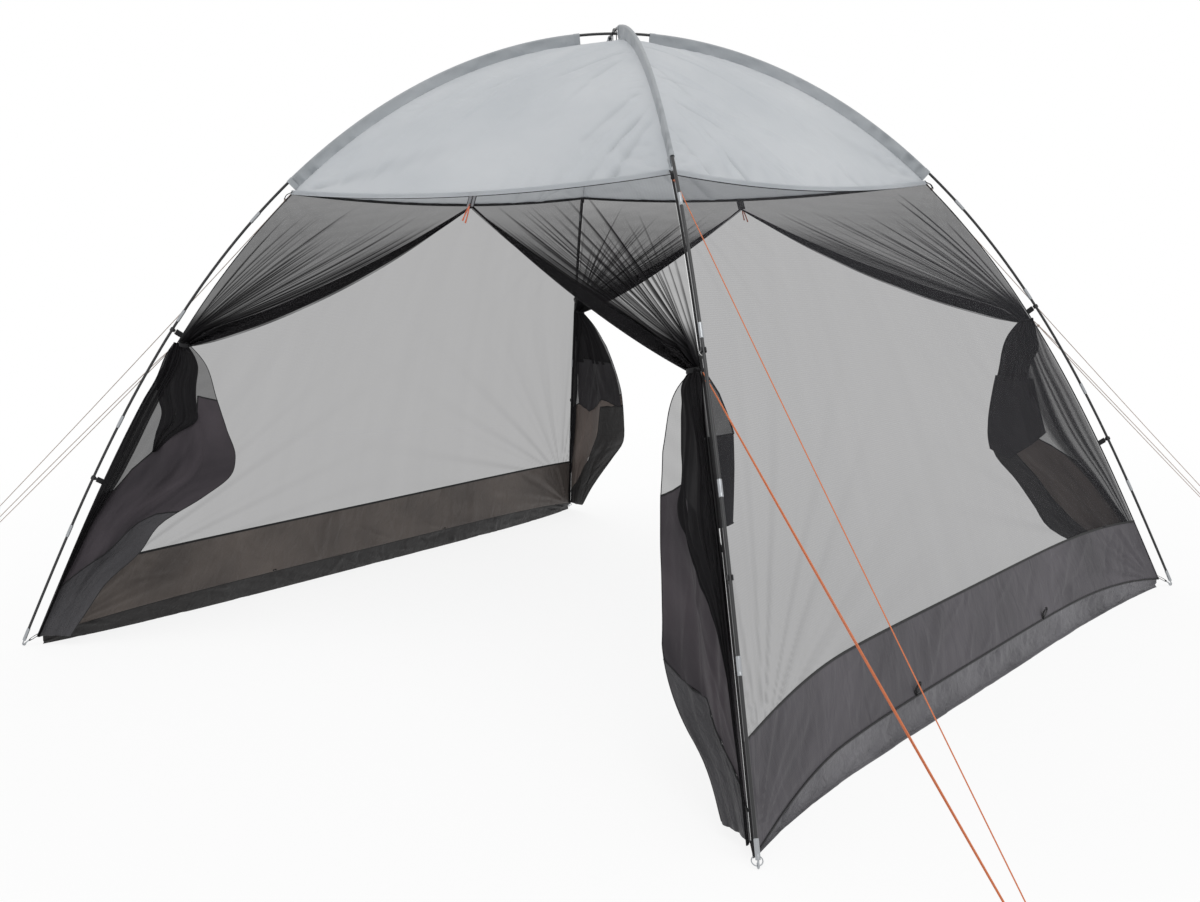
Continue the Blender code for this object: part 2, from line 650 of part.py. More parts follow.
def corner_pin(corner, where):
    """A round pin up the pole's end, bent under it into a hook that opens towards the tent."""
    foot, crook, _, out, up = pin_frame(corner)
    points = [foot + up * PIN_DEPTH]
    for turn in np.linspace(0, math.pi, CROOK_POINTS):
        points.append(crook + (out * math.cos(turn) - up * math.sin(turn)) * CROOK_RADIUS)
    points.append(points[-1] + up * PIN_TIP_RISE)
    tube(f"{corner}_corner_pin", points, PIN_DIAMETER, "steel", where)


def torus(name, diameter, wire, kind, where):
    """A closed ring in the XY plane, of the diameter of its wire's middle line."""
    bpy.ops.mesh.primitive_torus_add(major_segments=TORUS_SEGMENTS, minor_segments=TORUS_SIDES,
                                     major_radius=diameter / 2, minor_radius=wire / 2)
    ring = bpy.context.object
    ring.name = name
    for collection in list(ring.users_collection):
        collection.objects.unlink(ring)
    where.objects.link(ring)
    ring.data.materials.append(material(kind))
    ring.data.shade_smooth()
    return ring


def frame_of(middle, x_way, y_way, z_way):
    """The matrix that puts an object's X, Y and Z along three ways, at a place."""
    return Matrix([(*row, place) for row, place in zip(zip(x_way, y_way, z_way), middle)] + [(0, 0, 0, 1)])


def corner_ring(corner, where):
    """A steel ring whose wire lies in the pin's hook. Its origin is on the wire, which is its hinge's axis."""
    crook, side, out, up = pin_frame(corner)[1:]
    lean = up * math.cos(RING_LEAN) - out * math.sin(RING_LEAN)
    ring = torus(f"{corner}_corner_ring", RING_DIAMETER, RING_WIRE, "steel", where)
    ring.data.transform(Matrix.Translation((0, RING_DIAMETER / 2, 0)))
    ring.matrix_world = frame_of(crook, side, lean, np.cross(side, lean))


def apex_tie(where):
    """A loop round both poles at their crossing, in the upright plane between them, down to the canopy."""
    half_across = POLE_DIAMETER / 2 * math.sqrt(2) + TIE_CLEARANCE + TIE_WIRE
    top = POLE_HEIGHT + crossing_shift() + POLE_DIAMETER / 2 + TIE_CLEARANCE + TIE_WIRE / 2
    low = POLE_HEIGHT - RIDGE_DROP + SEAM_GAP + TIE_WIRE / 2
    turns = np.linspace(0, math.pi, TIE_POINTS // 2)
    centre_top, centre_low = top - half_across, low + half_across
    arc = [(half_across * math.cos(turn), half_across * math.sin(turn)) for turn in turns]
    points = [(0, across, centre_top + rise) for across, rise in arc]
    points += [(0, -across, centre_low - rise) for across, rise in arc]
    tube("apex_tie", points, TIE_WIRE, "clip", where, sides_resolution=1, cyclic=True)


def door_frame(end):
    """The slider's place on a door's middle line, with the ways across, out of the tent and down the zip."""
    half, height = seam_at(CANOPY_EDGE_UP_POLE, RIDGE_DROP)
    fall, out = seam_fall()
    fall, out = fall * np.array([1, end, 1]), out * np.array([1, end, 1])
    aside = ZIP_OFF_MIDDLE[end]
    hem = np.array([aside, end * half, height - hem_drop(aside / half) - SEAM_GAP])
    down = ZIP_STUB + SLIDER_OVERLAP - SLIDER_LENGTH / 2
    return hem + fall * down - out * CLOTH_THICKNESS / 2, np.array([1, 0, 0]), out, fall


# Zip pieces are drawn with X across the zip, Y out of the tent and -Z down the zip
def zip_slider(door, end, where, cutters):
    """Two plates either side of the tapes, joined by a post between them, with a bridge for the pull."""
    middle, across, out, fall = door_frame(end)
    gap = CLOTH_THICKNESS / 2 + SLIDER_CLEARANCE
    wide, post, deep = SLIDER_WIDTH / 2, SLIDER_POST / 2, gap + SLIDER_PLATE
    outline = [(-wide, -deep), (wide, -deep), (wide, -gap), (post, -gap), (post, gap), (wide, gap)]
    outline += [(-x, -y) for x, y in outline]
    count, half = len(outline), SLIDER_LENGTH / 2
    points = [(x, y, z) for z in (-half, half) for x, y in outline]
    faces = [tuple(range(count)), tuple(range(2 * count - 1, count - 1, -1))]
    faces += [(i, (i + 1) % count, count + (i + 1) % count, count + i) for i in range(count)]
    slider = add_mesh(f"{door}_zip_slider", points, faces, "clip", where)
    root = deep - BRIDGE_WIRE
    arch_points = [(0, root, -BRIDGE_HALF)]
    rise = BRIDGE_REACH - BRIDGE_WIRE
    for turn in np.linspace(0, math.pi, BRIDGE_POINTS):
        arch_points.append((0, deep + rise * math.sin(turn), -BRIDGE_HALF * math.cos(turn)))
    arch_points.append((0, root, BRIDGE_HALF))
    wire = tube(f"{door}_zip_bridge", arch_points, BRIDGE_WIRE, "clip", cutters, sides_resolution=1)
    bridge = as_mesh(wire)
    bridge.hide_render = True
    bridge.display_type = "WIRE"
    join = slider.modifiers.new("bridge", "BOOLEAN")
    join.operation = "UNION"
    join.object = bridge
    slider.matrix_world = bridge.matrix_world = frame_of(middle, across, out, -fall)


def pull_hinge(end):
    """The middle of the pull's eye wire under the bridge, which is its hinge's axis."""
    middle, across, out, fall = door_frame(end)
    deep = CLOTH_THICKNESS / 2 + SLIDER_CLEARANCE + SLIDER_PLATE
    reach = deep + SLIDER_CLEARANCE + PULL_TAIL_WIDTH / 2
    return middle + out * reach, across, out, fall


def zip_pull(door, end, where, cutters):
    """An eye threaded under the slider's bridge, with a soft tail. Its origin is on its hinge's axis."""
    hinge, across, out, fall = pull_hinge(end)
    pull = torus(f"{door}_zip_pull", PULL_RING, PULL_WIRE, "orange", where)
    # The eye lies in the plane of the zip, its top wire on the hinge.
    pull.data.transform(Matrix.Rotation(math.pi / 2, 4, "X"))
    pull.data.transform(Matrix.Translation((0, 0, -PULL_RING / 2)))
    ends = [(0, 0, -PULL_RING), (0, 0, -PULL_RING - PULL_TAIL)]
    tail = as_mesh(tube(f"{door}_zip_tail", ends, PULL_TAIL_WIDTH, "orange", cutters, sides_resolution=1))
    tail.hide_render = True
    tail.display_type = "WIRE"
    join = pull.modifiers.new("tail", "BOOLEAN")
    join.operation = "UNION"
    join.object = tail
    pull.matrix_world = tail.matrix_world = frame_of(hinge, across, out, -fall)


def guy_line(corner, level, where):
    """A taut line from the outer side of the corner seam to the ground, sagging by a share of its length."""
    up_pole = net_ways()[GUY_NET_ROWS[level]]
    stand = GUY_DIAMETER / 2 + SEAM_GAP - corner_drop(up_pole)
    start = Arch(POLE_HEIGHT).in_space(corner, up_pole, stand)
    peg = np.array([*PEG_POINTS[corner], GUY_DIAMETER / 2])
    if level == "lower":
        peg[:2] += (start[:2] - peg[:2]) / np.linalg.norm(start[:2] - peg[:2]) * GUY_PEG_APART
    length = np.linalg.norm(peg - start)
    shares = np.linspace(0, 1, GUY_POINTS)
    points = start + (peg - start) * shares[:, None]
    points[:, 2] -= GUY_SAG_SHARE * length * 4 * shares * (1 - shares)
    points[:, 2] = np.maximum(points[:, 2], GUY_DIAMETER / 2)
    tube(f"{corner}_{level}_guy_line", points, GUY_DIAMETER, "orange", where)


def build():
    clear_scene()
    tent = new_collection("mosquito_net_tent")
    cutters = new_collection("cutters", hidden=True)
    for corner in CORNERS:
        for number in range(1, SECTIONS_PER_LEG + 1):
            pole_section(corner, number, tent)
        sleeve(corner, tent)
        corner_pin(corner, tent)
        corner_ring(corner, tent)
        curtain(corner, tent)
        for level in CLIPS_UP_POLE:
            hook_clip(corner, level, tent)
    for corner in CROWN_ENDS:
        crown_pole(corner, tent)
    canopy(tent)
    apex_tie(tent)
    closed_wall("right", 1, tent)
    closed_wall("left", -1, tent)
    for door, end in (("front", -1), ("rear", 1)):
        zip_slider(door, end, tent, cutters)
        zip_pull(door, end, tent, cutters)
    for corner in PEG_POINTS:
        for level in GUY_NET_ROWS:
            guy_line(corner, level, tent)


build()
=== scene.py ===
# Looks for the mosquito net tent: cloth, nets, poles, rings, clips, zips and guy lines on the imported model
import json
import math

import bmesh
import bpy
import numpy as np
from mathutils import Matrix, Vector


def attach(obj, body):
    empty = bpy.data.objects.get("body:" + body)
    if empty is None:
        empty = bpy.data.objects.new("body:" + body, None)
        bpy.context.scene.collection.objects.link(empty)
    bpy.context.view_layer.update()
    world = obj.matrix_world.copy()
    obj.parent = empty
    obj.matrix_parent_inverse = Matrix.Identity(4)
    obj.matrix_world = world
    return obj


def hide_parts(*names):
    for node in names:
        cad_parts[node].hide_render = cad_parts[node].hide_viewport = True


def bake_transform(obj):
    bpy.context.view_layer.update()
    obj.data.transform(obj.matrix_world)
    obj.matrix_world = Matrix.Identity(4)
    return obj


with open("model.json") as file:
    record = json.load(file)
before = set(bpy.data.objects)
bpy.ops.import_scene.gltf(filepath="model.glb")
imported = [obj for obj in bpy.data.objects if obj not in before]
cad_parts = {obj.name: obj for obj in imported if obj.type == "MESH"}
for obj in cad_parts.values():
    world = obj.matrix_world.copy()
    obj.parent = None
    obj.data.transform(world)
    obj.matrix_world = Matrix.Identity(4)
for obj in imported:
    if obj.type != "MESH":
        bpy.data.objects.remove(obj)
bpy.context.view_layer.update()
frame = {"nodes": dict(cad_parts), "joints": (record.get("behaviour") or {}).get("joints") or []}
corners = {"front_right": (1, -1), "front_left": (-1, -1), "rear_right": (1, 1), "rear_left": (-1, 1)}
upperPole = ("front_right", "rear_left")
sideways = np.array([1.0, 0.0, 0.0])
skyward = np.array([0.0, 0.0, 1.0])


# The arch poles and the lines of the cloth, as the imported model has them, in metres
arch = {
    "footHalf": 1.527, "footHeight": 0.020, "height": 2.108, "footAngle": math.radians(64.2),
    "rod": 0.0095, "crossingGap": 0.0006, "steps": 1201,
    "sectionPitch": 0.431, "sections": 4,
    "canopyEdge": 1.870, "ridgeDrop": 0.038, "hemSag": 0.035, "panelBulge": 0.022, "clothHalf": 0.0004,
    "sleeveStart": 1.892, "sleeveEndFromTop": 0.125,
    "wallDrop": 0.040, "wallFoot": 0.030, "bandTop": 0.290, "bandSeamHeight": 0.082, "bandInset": 0.090,
}


def archLine(top):
    # The lean grows from level at the top to the foot angle as 1 - (1 - u)^2; reach and height are its sums
    down = np.linspace(0, 1, arch["steps"])
    lean = arch["footAngle"] * (1 - (1 - down) ** 2)
    reach = np.concatenate([[0], np.cumsum(np.cos(lean[1:]) + np.cos(lean[:-1]))])
    fall = np.concatenate([[0], np.cumsum(np.sin(lean[1:]) + np.sin(lean[:-1]))])
    r = (reach / reach[-1] * arch["footHalf"] * math.sqrt(2))[::-1]
    z = (top - fall / fall[-1] * (top - arch["footHeight"]))[::-1]
    s = np.concatenate([[0], np.cumsum(np.hypot(np.diff(r), np.diff(z)))])
    return {"r": r, "z": z, "s": s, "run": np.gradient(r, s), "rise": np.gradient(z, s), "length": s[-1]}


meanArch = archLine(arch["height"])
crossingShift = (arch["rod"] + arch["crossingGap"]) / 2
poleArches = {corner: archLine(arch["height"] + (crossingShift if corner in upperPole else -crossingShift))
              for corner in corners}


def archAt(line, way):
    # Reach, height and unit run and rise at a way up the pole, which past the top goes down the other leg
    way = np.asarray(way, float)
    over = way > line["length"]
    own = np.where(over, 2 * line["length"] - way, way)
    r, z, run, rise = (np.interp(own, line["s"], line[key]) for key in ("r", "z", "run", "rise"))
    size = np.hypot(run, rise)
    sign = np.where(over, -1, 1)
    return sign * r, z, run / size, sign * rise / size


def inSpace(line, corner, way, out=0.0):
    # Points on the pole's middle line, moved out square to it, away from the tent
    r, z, run, rise = archAt(line, way)
    r, z = r + out * rise, z - out * run
    toward = np.array(corners[corner]) / math.sqrt(2)
    return np.stack([r * toward[0], r * toward[1], z], axis=-1)


def poleAxes(line, corner, way):
    # Sideways, outward and upward unit vectors at each way up the pole
    _, _, run, rise = archAt(line, way)
    toward = np.array(corners[corner]) / math.sqrt(2)
    up = np.stack([run * toward[0], run * toward[1], rise], axis=-1)
    out = np.stack([rise * toward[0], rise * toward[1], -run], axis=-1)
    return np.cross(out, up), out, up


def seamAt(way, drop):
    # Half width and height of the cloth's corner line at a way up the mean pole
    r, z, run, rise = archAt(meanArch, way)
    return (r - drop * rise) / math.sqrt(2), z + drop * run


def cornerDrop(way):
    # How far under the pole the seam runs, in a straight line from the canopy's corner to the foot
    share = (arch["canopyEdge"] - way) / (arch["canopyEdge"] - arch["wallFoot"])
    return arch["ridgeDrop"] + (arch["wallDrop"] - arch["ridgeDrop"]) * share


def hemDrop(across):
    # The hem hangs between its corners as a parabola
    return arch["hemSag"] * (1 - across**2)


def smooth(low, high, value):
    # A step from 0 to 1 between two values, by 3t^2 - 2t^3
    share = np.clip((value - low) / (high - low), 0, 1)
    return share * share * (3 - 2 * share)


def cubicBetween(t, first, second, firstSlope, secondSlope):
    # The cubic that meets two values with two slopes
    return ((2 * t**3 - 3 * t**2 + 1) * first + (t**3 - 2 * t**2 + t) * firstSlope
            + (3 * t**2 - 2 * t**3) * second + (t**3 - t**2) * secondSlope)


def smoothTable(value, places, heights):
    # A cubic between each two given points, with the slopes of the chords to both neighbours
    places, heights = np.asarray(places, float), np.asarray(heights, float)
    slopes = np.gradient(heights, places)
    low = np.clip(np.searchsorted(places, value, side="right") - 1, 0, len(places) - 2)
    step = places[low + 1] - places[low]
    t = np.clip((value - places[low]) / step, 0, 1)
    return cubicBetween(t, heights[low], heights[low + 1], step * slopes[low], step * slopes[low + 1])


def curveThrough(knots, count):
    # A smooth line through a few points: a cubic between each two, its slopes from the neighbours
    knots = np.asarray(knots, float)
    slopes = np.gradient(knots, axis=0)
    at = np.linspace(0, len(knots) - 1, count)
    low = np.minimum(at.astype(int), len(knots) - 2)
    t = (at - low)[:, None]
    return cubicBetween(t, knots[low], knots[low + 1], slopes[low], slopes[low + 1])


# Materials
wavePitch = 0.31416  # metres from crest to crest of a Wave texture at scale 1
weaveLook = {"toneScale": 2.6, "toneDetail": 3.0, "toneLow": 0.32, "toneHigh": 0.68, "threadShare": 0.05,
             "foldDetail": 5.0, "foldRoughness": 0.55, "foldTwist": 0.6, "sheenRoughness": 0.5}
netLook = {"roughness": 0.75, "gloss": 0.12, "streakScale": (11.0, 0.9, 1.0), "streakDetail": 3.0,
           "knitShare": -0.04, "moirePitch": 0.05, "moireTwist": 9.0, "moireDetail": 1.0,
           "moireDetailScale": 0.35, "coverLift": 0.01}
mouldLook = {"detail": 4.0, "smoother": 0.06, "rougher": 0.10}
braidLook = {"roughness": 0.65, "sheen": 0.3, "sheenRoughness": 0.4, "slant": 0.7, "depth": 0.0004}


def toLinear(hexColour):
    # sRGB to linear: a straight part near black, and a power of 2.4 above it
    parts = np.array([int(hexColour[i:i + 2], 16) for i in (1, 3, 5)]) / 255
    return (*np.where(parts <= 0.04045, parts / 12.92, ((parts + 0.055) / 1.055) ** 2.4), 1.0)


def addNode(tree, kind, inputs=None, **settings):
    node = tree.nodes.new(kind)
    for key, value in settings.items():
        setattr(node, key, value)
    for socket, value in (inputs or {}).items():
        if isinstance(value, bpy.types.NodeSocket):
            tree.links.new(value, node.inputs[socket])
        else:
            node.inputs[socket].default_value = value
    return node


def newMaterial(name, base, roughness, **sockets):
    made = bpy.data.materials.new(name)
    made.use_nodes = True
    tree = made.node_tree
    tree.nodes.clear()
    plain = {"Base Color": toLinear(base), "Roughness": roughness}
    plain.update({key.replace("_", " "): value for key, value in sockets.items()})
    shader = addNode(tree, "ShaderNodeBsdfPrincipled", plain)
    addNode(tree, "ShaderNodeOutputMaterial", {"Surface": shader.outputs["BSDF"]})
    return made, tree, shader


def crossedThreads(tree, place, pitch):
    # Two waves of the thread spacing, one along each way of the cloth, multiplied
    spread = {"Vector": place, "Scale": wavePitch / pitch}
    warp, weft = (addNode(tree, "ShaderNodeTexWave", spread, bands_direction=way).outputs["Fac"]
                  for way in ("X", "Y"))
    return addNode(tree, "ShaderNodeMath", {0: warp, 1: weft}, operation="MULTIPLY").outputs["Value"]


def wovenCloth(name, dark, light, thread, crinkle, crinkleDepth, roughness=0.6, sheen=0.1, stretch=1.0,
               through=0.0, gloss=0.25, creaseShadeColour=None):
    # Plain weave: two waves of the thread spacing cross each other, over soft crinkles and a change of tone
    made, tree, shader = newMaterial(name, light, roughness, Sheen_Weight=sheen, Alpha=1.0,
                                     Sheen_Roughness=weaveLook["sheenRoughness"], Specular_IOR_Level=gloss)
    place = addNode(tree, "ShaderNodeTexCoord").outputs["UV"]
    long = addNode(tree, "ShaderNodeMapping", {"Vector": place, "Scale": (stretch, 1.0, 1.0)})
    tone = addNode(tree, "ShaderNodeTexNoise", {"Vector": place, "Scale": weaveLook["toneScale"],
                                                "Detail": weaveLook["toneDetail"]})
    mixed = addNode(tree, "ShaderNodeValToRGB", {"Fac": tone.outputs["Fac"]})
    first, last = mixed.color_ramp.elements
    first.position, last.position = weaveLook["toneLow"], weaveLook["toneHigh"]
    first.color, last.color = toLinear(dark), toLinear(light)
    colour = mixed.outputs["Color"]
    if creaseShadeColour:
        # Painted shade: along the hollows of creases the colour is mixed toward a darker shade colour
        creased = addNode(tree, "ShaderNodeAttribute", attribute_name="creased").outputs["Fac"]
        shaded = addNode(tree, "ShaderNodeMix", {"Factor": creased}, data_type="RGBA")
        tree.links.new(colour, shaded.inputs["A"])
        shaded.inputs["B"].default_value = toLinear(creaseShadeColour)
        colour = shaded.outputs["Result"]
    tree.links.new(colour, shader.inputs["Base Color"])
    weave = crossedThreads(tree, place, thread)
    folds = addNode(tree, "ShaderNodeTexNoise", {
        "Vector": long.outputs["Vector"], "Scale": 1 / crinkle, "Detail": weaveLook["foldDetail"],
        "Roughness": weaveLook["foldRoughness"], "Distortion": weaveLook["foldTwist"]}).outputs["Fac"]
    part = addNode(tree, "ShaderNodeMath", {0: weave, 1: weaveLook["threadShare"], 2: folds},
                   operation="MULTIPLY_ADD")
    bump = addNode(tree, "ShaderNodeBump", {"Height": part.outputs["Value"], "Distance": crinkleDepth,
                                            "Strength": 1.0})
    tree.links.new(bump.outputs["Normal"], shader.inputs["Normal"])
    if through:
        # Thin unlined cloth glows with the light that falls on its far side
        glow = addNode(tree, "ShaderNodeBsdfTranslucent", {"Color": colour}).outputs["BSDF"]
        both = addNode(tree, "ShaderNodeMixShader", {0: through, 1: shader.outputs["BSDF"], 2: glow})
        surface = [node for node in tree.nodes if node.type == "OUTPUT_MATERIAL"][0]
        tree.links.new(both.outputs["Shader"], surface.inputs["Surface"])
    return made


def insectNet(name, threadColour, alpha, knit, streak, swirl=0.0):
    # Black warp-knitted mesh: open holes pass the light, so one layer is smoke grey over white, ten are black
    made, tree, shader = newMaterial(name, threadColour, netLook["roughness"],
                                     Specular_IOR_Level=netLook["gloss"])
    place = addNode(tree, "ShaderNodeTexCoord").outputs["UV"]
    long = addNode(tree, "ShaderNodeMapping", {"Vector": place, "Scale": netLook["streakScale"]})
    slow = addNode(tree, "ShaderNodeTexNoise", {"Vector": long.outputs["Vector"], "Scale": 1.0,
                                                "Detail": netLook["streakDetail"]}).outputs["Fac"]
    holes = crossedThreads(tree, place, knit)
    moire = addNode(tree, "ShaderNodeTexWave", {
        "Vector": place, "Scale": wavePitch / netLook["moirePitch"], "Distortion": netLook["moireTwist"],
        "Detail": netLook["moireDetail"], "Detail Scale": netLook["moireDetailScale"]},
        bands_direction="DIAGONAL").outputs["Fac"]
    cover = alpha - streak / 2 + netLook["coverLift"]
    for part, share in ((slow, streak), (holes, netLook["knitShare"]), (moire, swirl)):
        added = addNode(tree, "ShaderNodeMath", {0: part, 1: share, 2: cover}, operation="MULTIPLY_ADD")
        cover = added.outputs[0]
    # Each further layer blocks the same share of what is left: 1 - (1 - alpha)^layers
    layers = addNode(tree, "ShaderNodeAttribute", attribute_name="layers").outputs["Fac"]
    openShare = addNode(tree, "ShaderNodeMath", {0: 1.0, 1: cover}, operation="SUBTRACT").outputs[0]
    left = addNode(tree, "ShaderNodeMath", {0: openShare, 1: layers}, operation="POWER").outputs[0]
    cover = addNode(tree, "ShaderNodeMath", {0: 1.0, 1: left}, operation="SUBTRACT", use_clamp=True)
    tree.links.new(cover.outputs[0], shader.inputs["Alpha"])
    return made


def smoothPlastic(name, base, roughness, grain, depth, **sockets):
    # Moulded or drawn surface: fine even grain on the piece's own place
    made, tree, shader = newMaterial(name, base, roughness, **sockets)
    place = addNode(tree, "ShaderNodeTexCoord").outputs["Object"]
    noise = addNode(tree, "ShaderNodeTexNoise", {"Vector": place, "Scale": 1 / grain,
                                                 "Detail": mouldLook["detail"]}).outputs["Fac"]
    gloss = addNode(tree, "ShaderNodeMapRange", {"Value": noise, "To Min": roughness - mouldLook["smoother"],
                                                 "To Max": roughness + mouldLook["rougher"]})
    tree.links.new(gloss.outputs["Result"], shader.inputs["Roughness"])
    bump = addNode(tree, "ShaderNodeBump", {"Height": noise, "Distance": depth, "Strength": 1.0})
    tree.links.new(bump.outputs["Normal"], shader.inputs["Normal"])
    return made


def braidedCord(name, base, shade, pitch):
    # Two waves run round the cord in opposite slants, so the lifted strands make small diamonds
    made, tree, shader = newMaterial(name, base, braidLook["roughness"], Sheen_Weight=braidLook["sheen"],
                                     Sheen_Roughness=braidLook["sheenRoughness"])
    place = addNode(tree, "ShaderNodeTexCoord").outputs["UV"]
    slanted = [addNode(tree, "ShaderNodeMapping", {"Vector": place, "Rotation": (0, 0, slant)})
               for slant in (braidLook["slant"], -braidLook["slant"])]
    one, two = (addNode(tree, "ShaderNodeTexWave", {"Vector": way.outputs["Vector"],
                                                    "Scale": wavePitch / pitch}, bands_direction="Y")
                for way in slanted)
    strands = addNode(tree, "ShaderNodeMath", {0: one.outputs["Fac"], 1: two.outputs["Fac"]},
                      operation="MAXIMUM").outputs["Value"]
    ramp = addNode(tree, "ShaderNodeValToRGB", {"Fac": strands})
    ramp.color_ramp.elements[0].color, ramp.color_ramp.elements[1].color = toLinear(shade), toLinear(base)
    tree.links.new(ramp.outputs["Color"], shader.inputs["Base Color"])
    bump = addNode(tree, "ShaderNodeBump", {"Height": strands, "Distance": braidLook["depth"],
                                            "Strength": 1.0})
    tree.links.new(bump.outputs["Normal"], shader.inputs["Normal"])
    return made


# Thread spacings are drawn some four to ten times the real 0.2 to 1.2 mm, the finest that shows at all.
# The roof is thin taffeta with a dull shine and the nets are soft black knits. The bands are stiff oxford
# with a matt coated back, whose brown tone is painted light shining through the cloth; the flaps are crisp
# ripstop.
# The roof and the sleeves carry painted shade: a darker colour along the hollows of their creases
canopyCloth = wovenCloth("polyester_taffeta_light_grey", "#CFD3D7", "#DBDEE1", 0.004, 0.11, 0.0035, 0.55, 0.1,
                         stretch=1.6, through=0.52, gloss=0.4, creaseShadeColour="#9BA1A6")
sleeveCloth = wovenCloth("polyester_taffeta_sleeve", "#ADB2B6", "#C1C5C9", 0.004, 0.05, 0.005, 0.5, 0.15,
                         through=0.25, gloss=0.4, creaseShadeColour="#7F858A")
netCloth = insectNet("warp_knit_insect_net_black", "#2E2E31", 0.58, 0.006, 0.03)
netPleats = insectNet("warp_knit_insect_net_gathered", "#151416", 0.56, 0.006, 0.05, 0.02)
bandCloth = wovenCloth("oxford_polyester_charcoal", "#424044", "#565358", 0.005, 0.13, 0.008, 0.6, 0.05,
                       stretch=2.2)
# The band's coated inner side is matt; its brown tone is painted light shining through the band
bandLining = wovenCloth("oxford_polyester_coated_side_painted_backlight", "#443E3B", "#5D5550", 0.005, 0.12, 0.009, 0.5, 0.05,
                        stretch=2.2)
# The curtain's own colour is dark; the wide spread of its random tone is painted shade standing for its folds
curtainCloth = wovenCloth("oxford_polyester_curtain", "#211D22", "#423C41", 0.005, 0.12, 0.004, 0.6, 0.05)
# The curtain's coated back is matt; its lighter brown tone is painted light shining through the cloth
curtainLining = wovenCloth("oxford_polyester_curtain_back_painted_backlight", "#5F5550", "#746A65", 0.005, 0.12, 0.003, 0.5,
                           0.05)
curtainFlap = wovenCloth("ripstop_curtain_flap", "#2E2D30", "#4B4A4D", 0.006, 0.03, 0.010, 0.5, 0.1)
foldedCloth = wovenCloth("oxford_polyester_doubled", "#1A181B", "#2A272B", 0.005, 0.12, 0.003, 0.6, 0.05)
flapCloth = wovenCloth("ripstop_mud_flap_grey", "#4F4E52", "#6D6C70", 0.006, 0.035, 0.010, 0.5, 0.1)
flapLining = wovenCloth("ripstop_mud_flap_coated_side", "#232121", "#313030", 0.006, 0.035, 0.006, 0.5, 0.05)
# Grosgrain is ribbed and dull, and the zip's tape a flat grey weave
bindingTape = wovenCloth("grosgrain_binding_black", "#0D0D0F", "#18181A", 0.0025, 0.02, 0.0005, 0.7, 0.1)
zipTape = wovenCloth("zip_tape_grey", "#6E6F73", "#85868A", 0.002, 0.02, 0.0004, 0.7, 0.3)
# Rods are glossy resin, ferrules bright drawn steel, pins and rings duller zinc, and the clips moulded nylon
rodFinish = smoothPlastic("pultruded_fibreglass_black", "#17181A", 0.32, 0.004, 0.0001, IOR=1.55)
ferruleFinish = smoothPlastic("bright_rolled_steel_tube", "#A2A5A8", 0.30, 0.003, 0.00005, Metallic=1.0)
wireFinish = smoothPlastic("zinc_plated_wire", "#A6A9AC", 0.36, 0.004, 0.0001, Metallic=1.0)
clipFinish = smoothPlastic("moulded_nylon_black", "#141416", 0.42, 0.002, 0.0001, IOR=1.53)
ringFinish = smoothPlastic("moulded_nylon_white", "#E4E4E2", 0.40, 0.002, 0.0001, IOR=1.53)
coilFinish = smoothPlastic("nylon_zip_coil_black", "#1B1B1D", 0.38, 0.002, 0.0001, IOR=1.53)
# Braided polyester cords, orange and on the reflective side pale
guyCord = braidedCord("braided_polyester_orange", "#E0814F", "#B9582F", 0.0022)
guyCordPale = braidedCord("braided_polyester_reflective_side", "#C4B3A8", "#7D6A60", 0.0022)
pullCord = braidedCord("waxed_pull_cord_orange", "#D4714F", "#B4573A", 0.0015)
print("materials made")


# Meshes
def paramGrid(columns, rows, acrossSpan=(0, 1), downSpan=(0, 1)):
    # Even steps of two parameters, one across and one down
    return np.meshgrid(np.linspace(*acrossSpan, columns), np.linspace(*downSpan, rows), indexing="xy")


def fullTurn(count):
    return np.arange(count) / count * 2 * math.pi


def circle(sides):
    # Cosines and sines of even steps round a turn
    turn = fullTurn(sides)
    return np.cos(turn), np.sin(turn)


def meshPiece(name, points, faces, loopUv, materials, body="tent", sharp=50, merge=0.0, layers=None,
              creased=None):
    mesh = bpy.data.meshes.new(name)
    mesh.from_pydata(points.reshape(-1, 3).tolist(), [], faces)
    mesh.uv_layers.new(name="cloth").data.foreach_set("uv", np.asarray(loopUv, np.float32).ravel())
    for label, values in (("layers", layers), ("creased", creased)):
        if values is not None:
            held = mesh.attributes.new(label, "FLOAT", "POINT")
            held.data.foreach_set("value", np.asarray(values, np.float32).ravel())
    for material in materials:
        mesh.materials.append(material)
    if merge:
        shape = bmesh.new()
        shape.from_mesh(mesh)
        bmesh.ops.remove_doubles(shape, verts=shape.verts, dist=merge)
        shape.to_mesh(mesh)
        shape.free()
    mesh.shade_smooth()
    mesh.set_sharp_from_angle(angle=math.radians(sharp))
    made = bpy.data.objects.new(name, mesh)
    bpy.context.scene.collection.objects.link(made)
    if body:
        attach(made, body)
    return made


def finish(made, slotName, *nodes):
    # Hides the imported solids that a piece stands for, and hands the piece back
    if nodes:
        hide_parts(*nodes)
    return made


def thicken(piece, depth):
    # Cloth of two sides: a thickness grown inwards, whose new face takes the second material
    thick = piece.modifiers.new("cloth", "SOLIDIFY")
    thick.thickness, thick.offset, thick.material_offset = depth, -1, 1


def gridFaces(rows, columns, wrap, start=0):
    # Quads from upper left round by lower left, and the row and column steps of their four corners
    index = start + np.arange(rows * columns).reshape(rows, columns)
    row, column = np.meshgrid(np.arange(rows - 1), np.arange(columns if wrap else columns - 1), indexing="ij")
    steps = [(row, column), (row + 1, column), (row + 1, column + 1), (row, column + 1)]
    quads = np.stack([index[r, c % columns] for r, c in steps], axis=-1).reshape(-1, 4)
    places = np.stack([np.stack([c, r], axis=-1) for r, c in steps], axis=-2).reshape(-1, 2)
    return quads, places


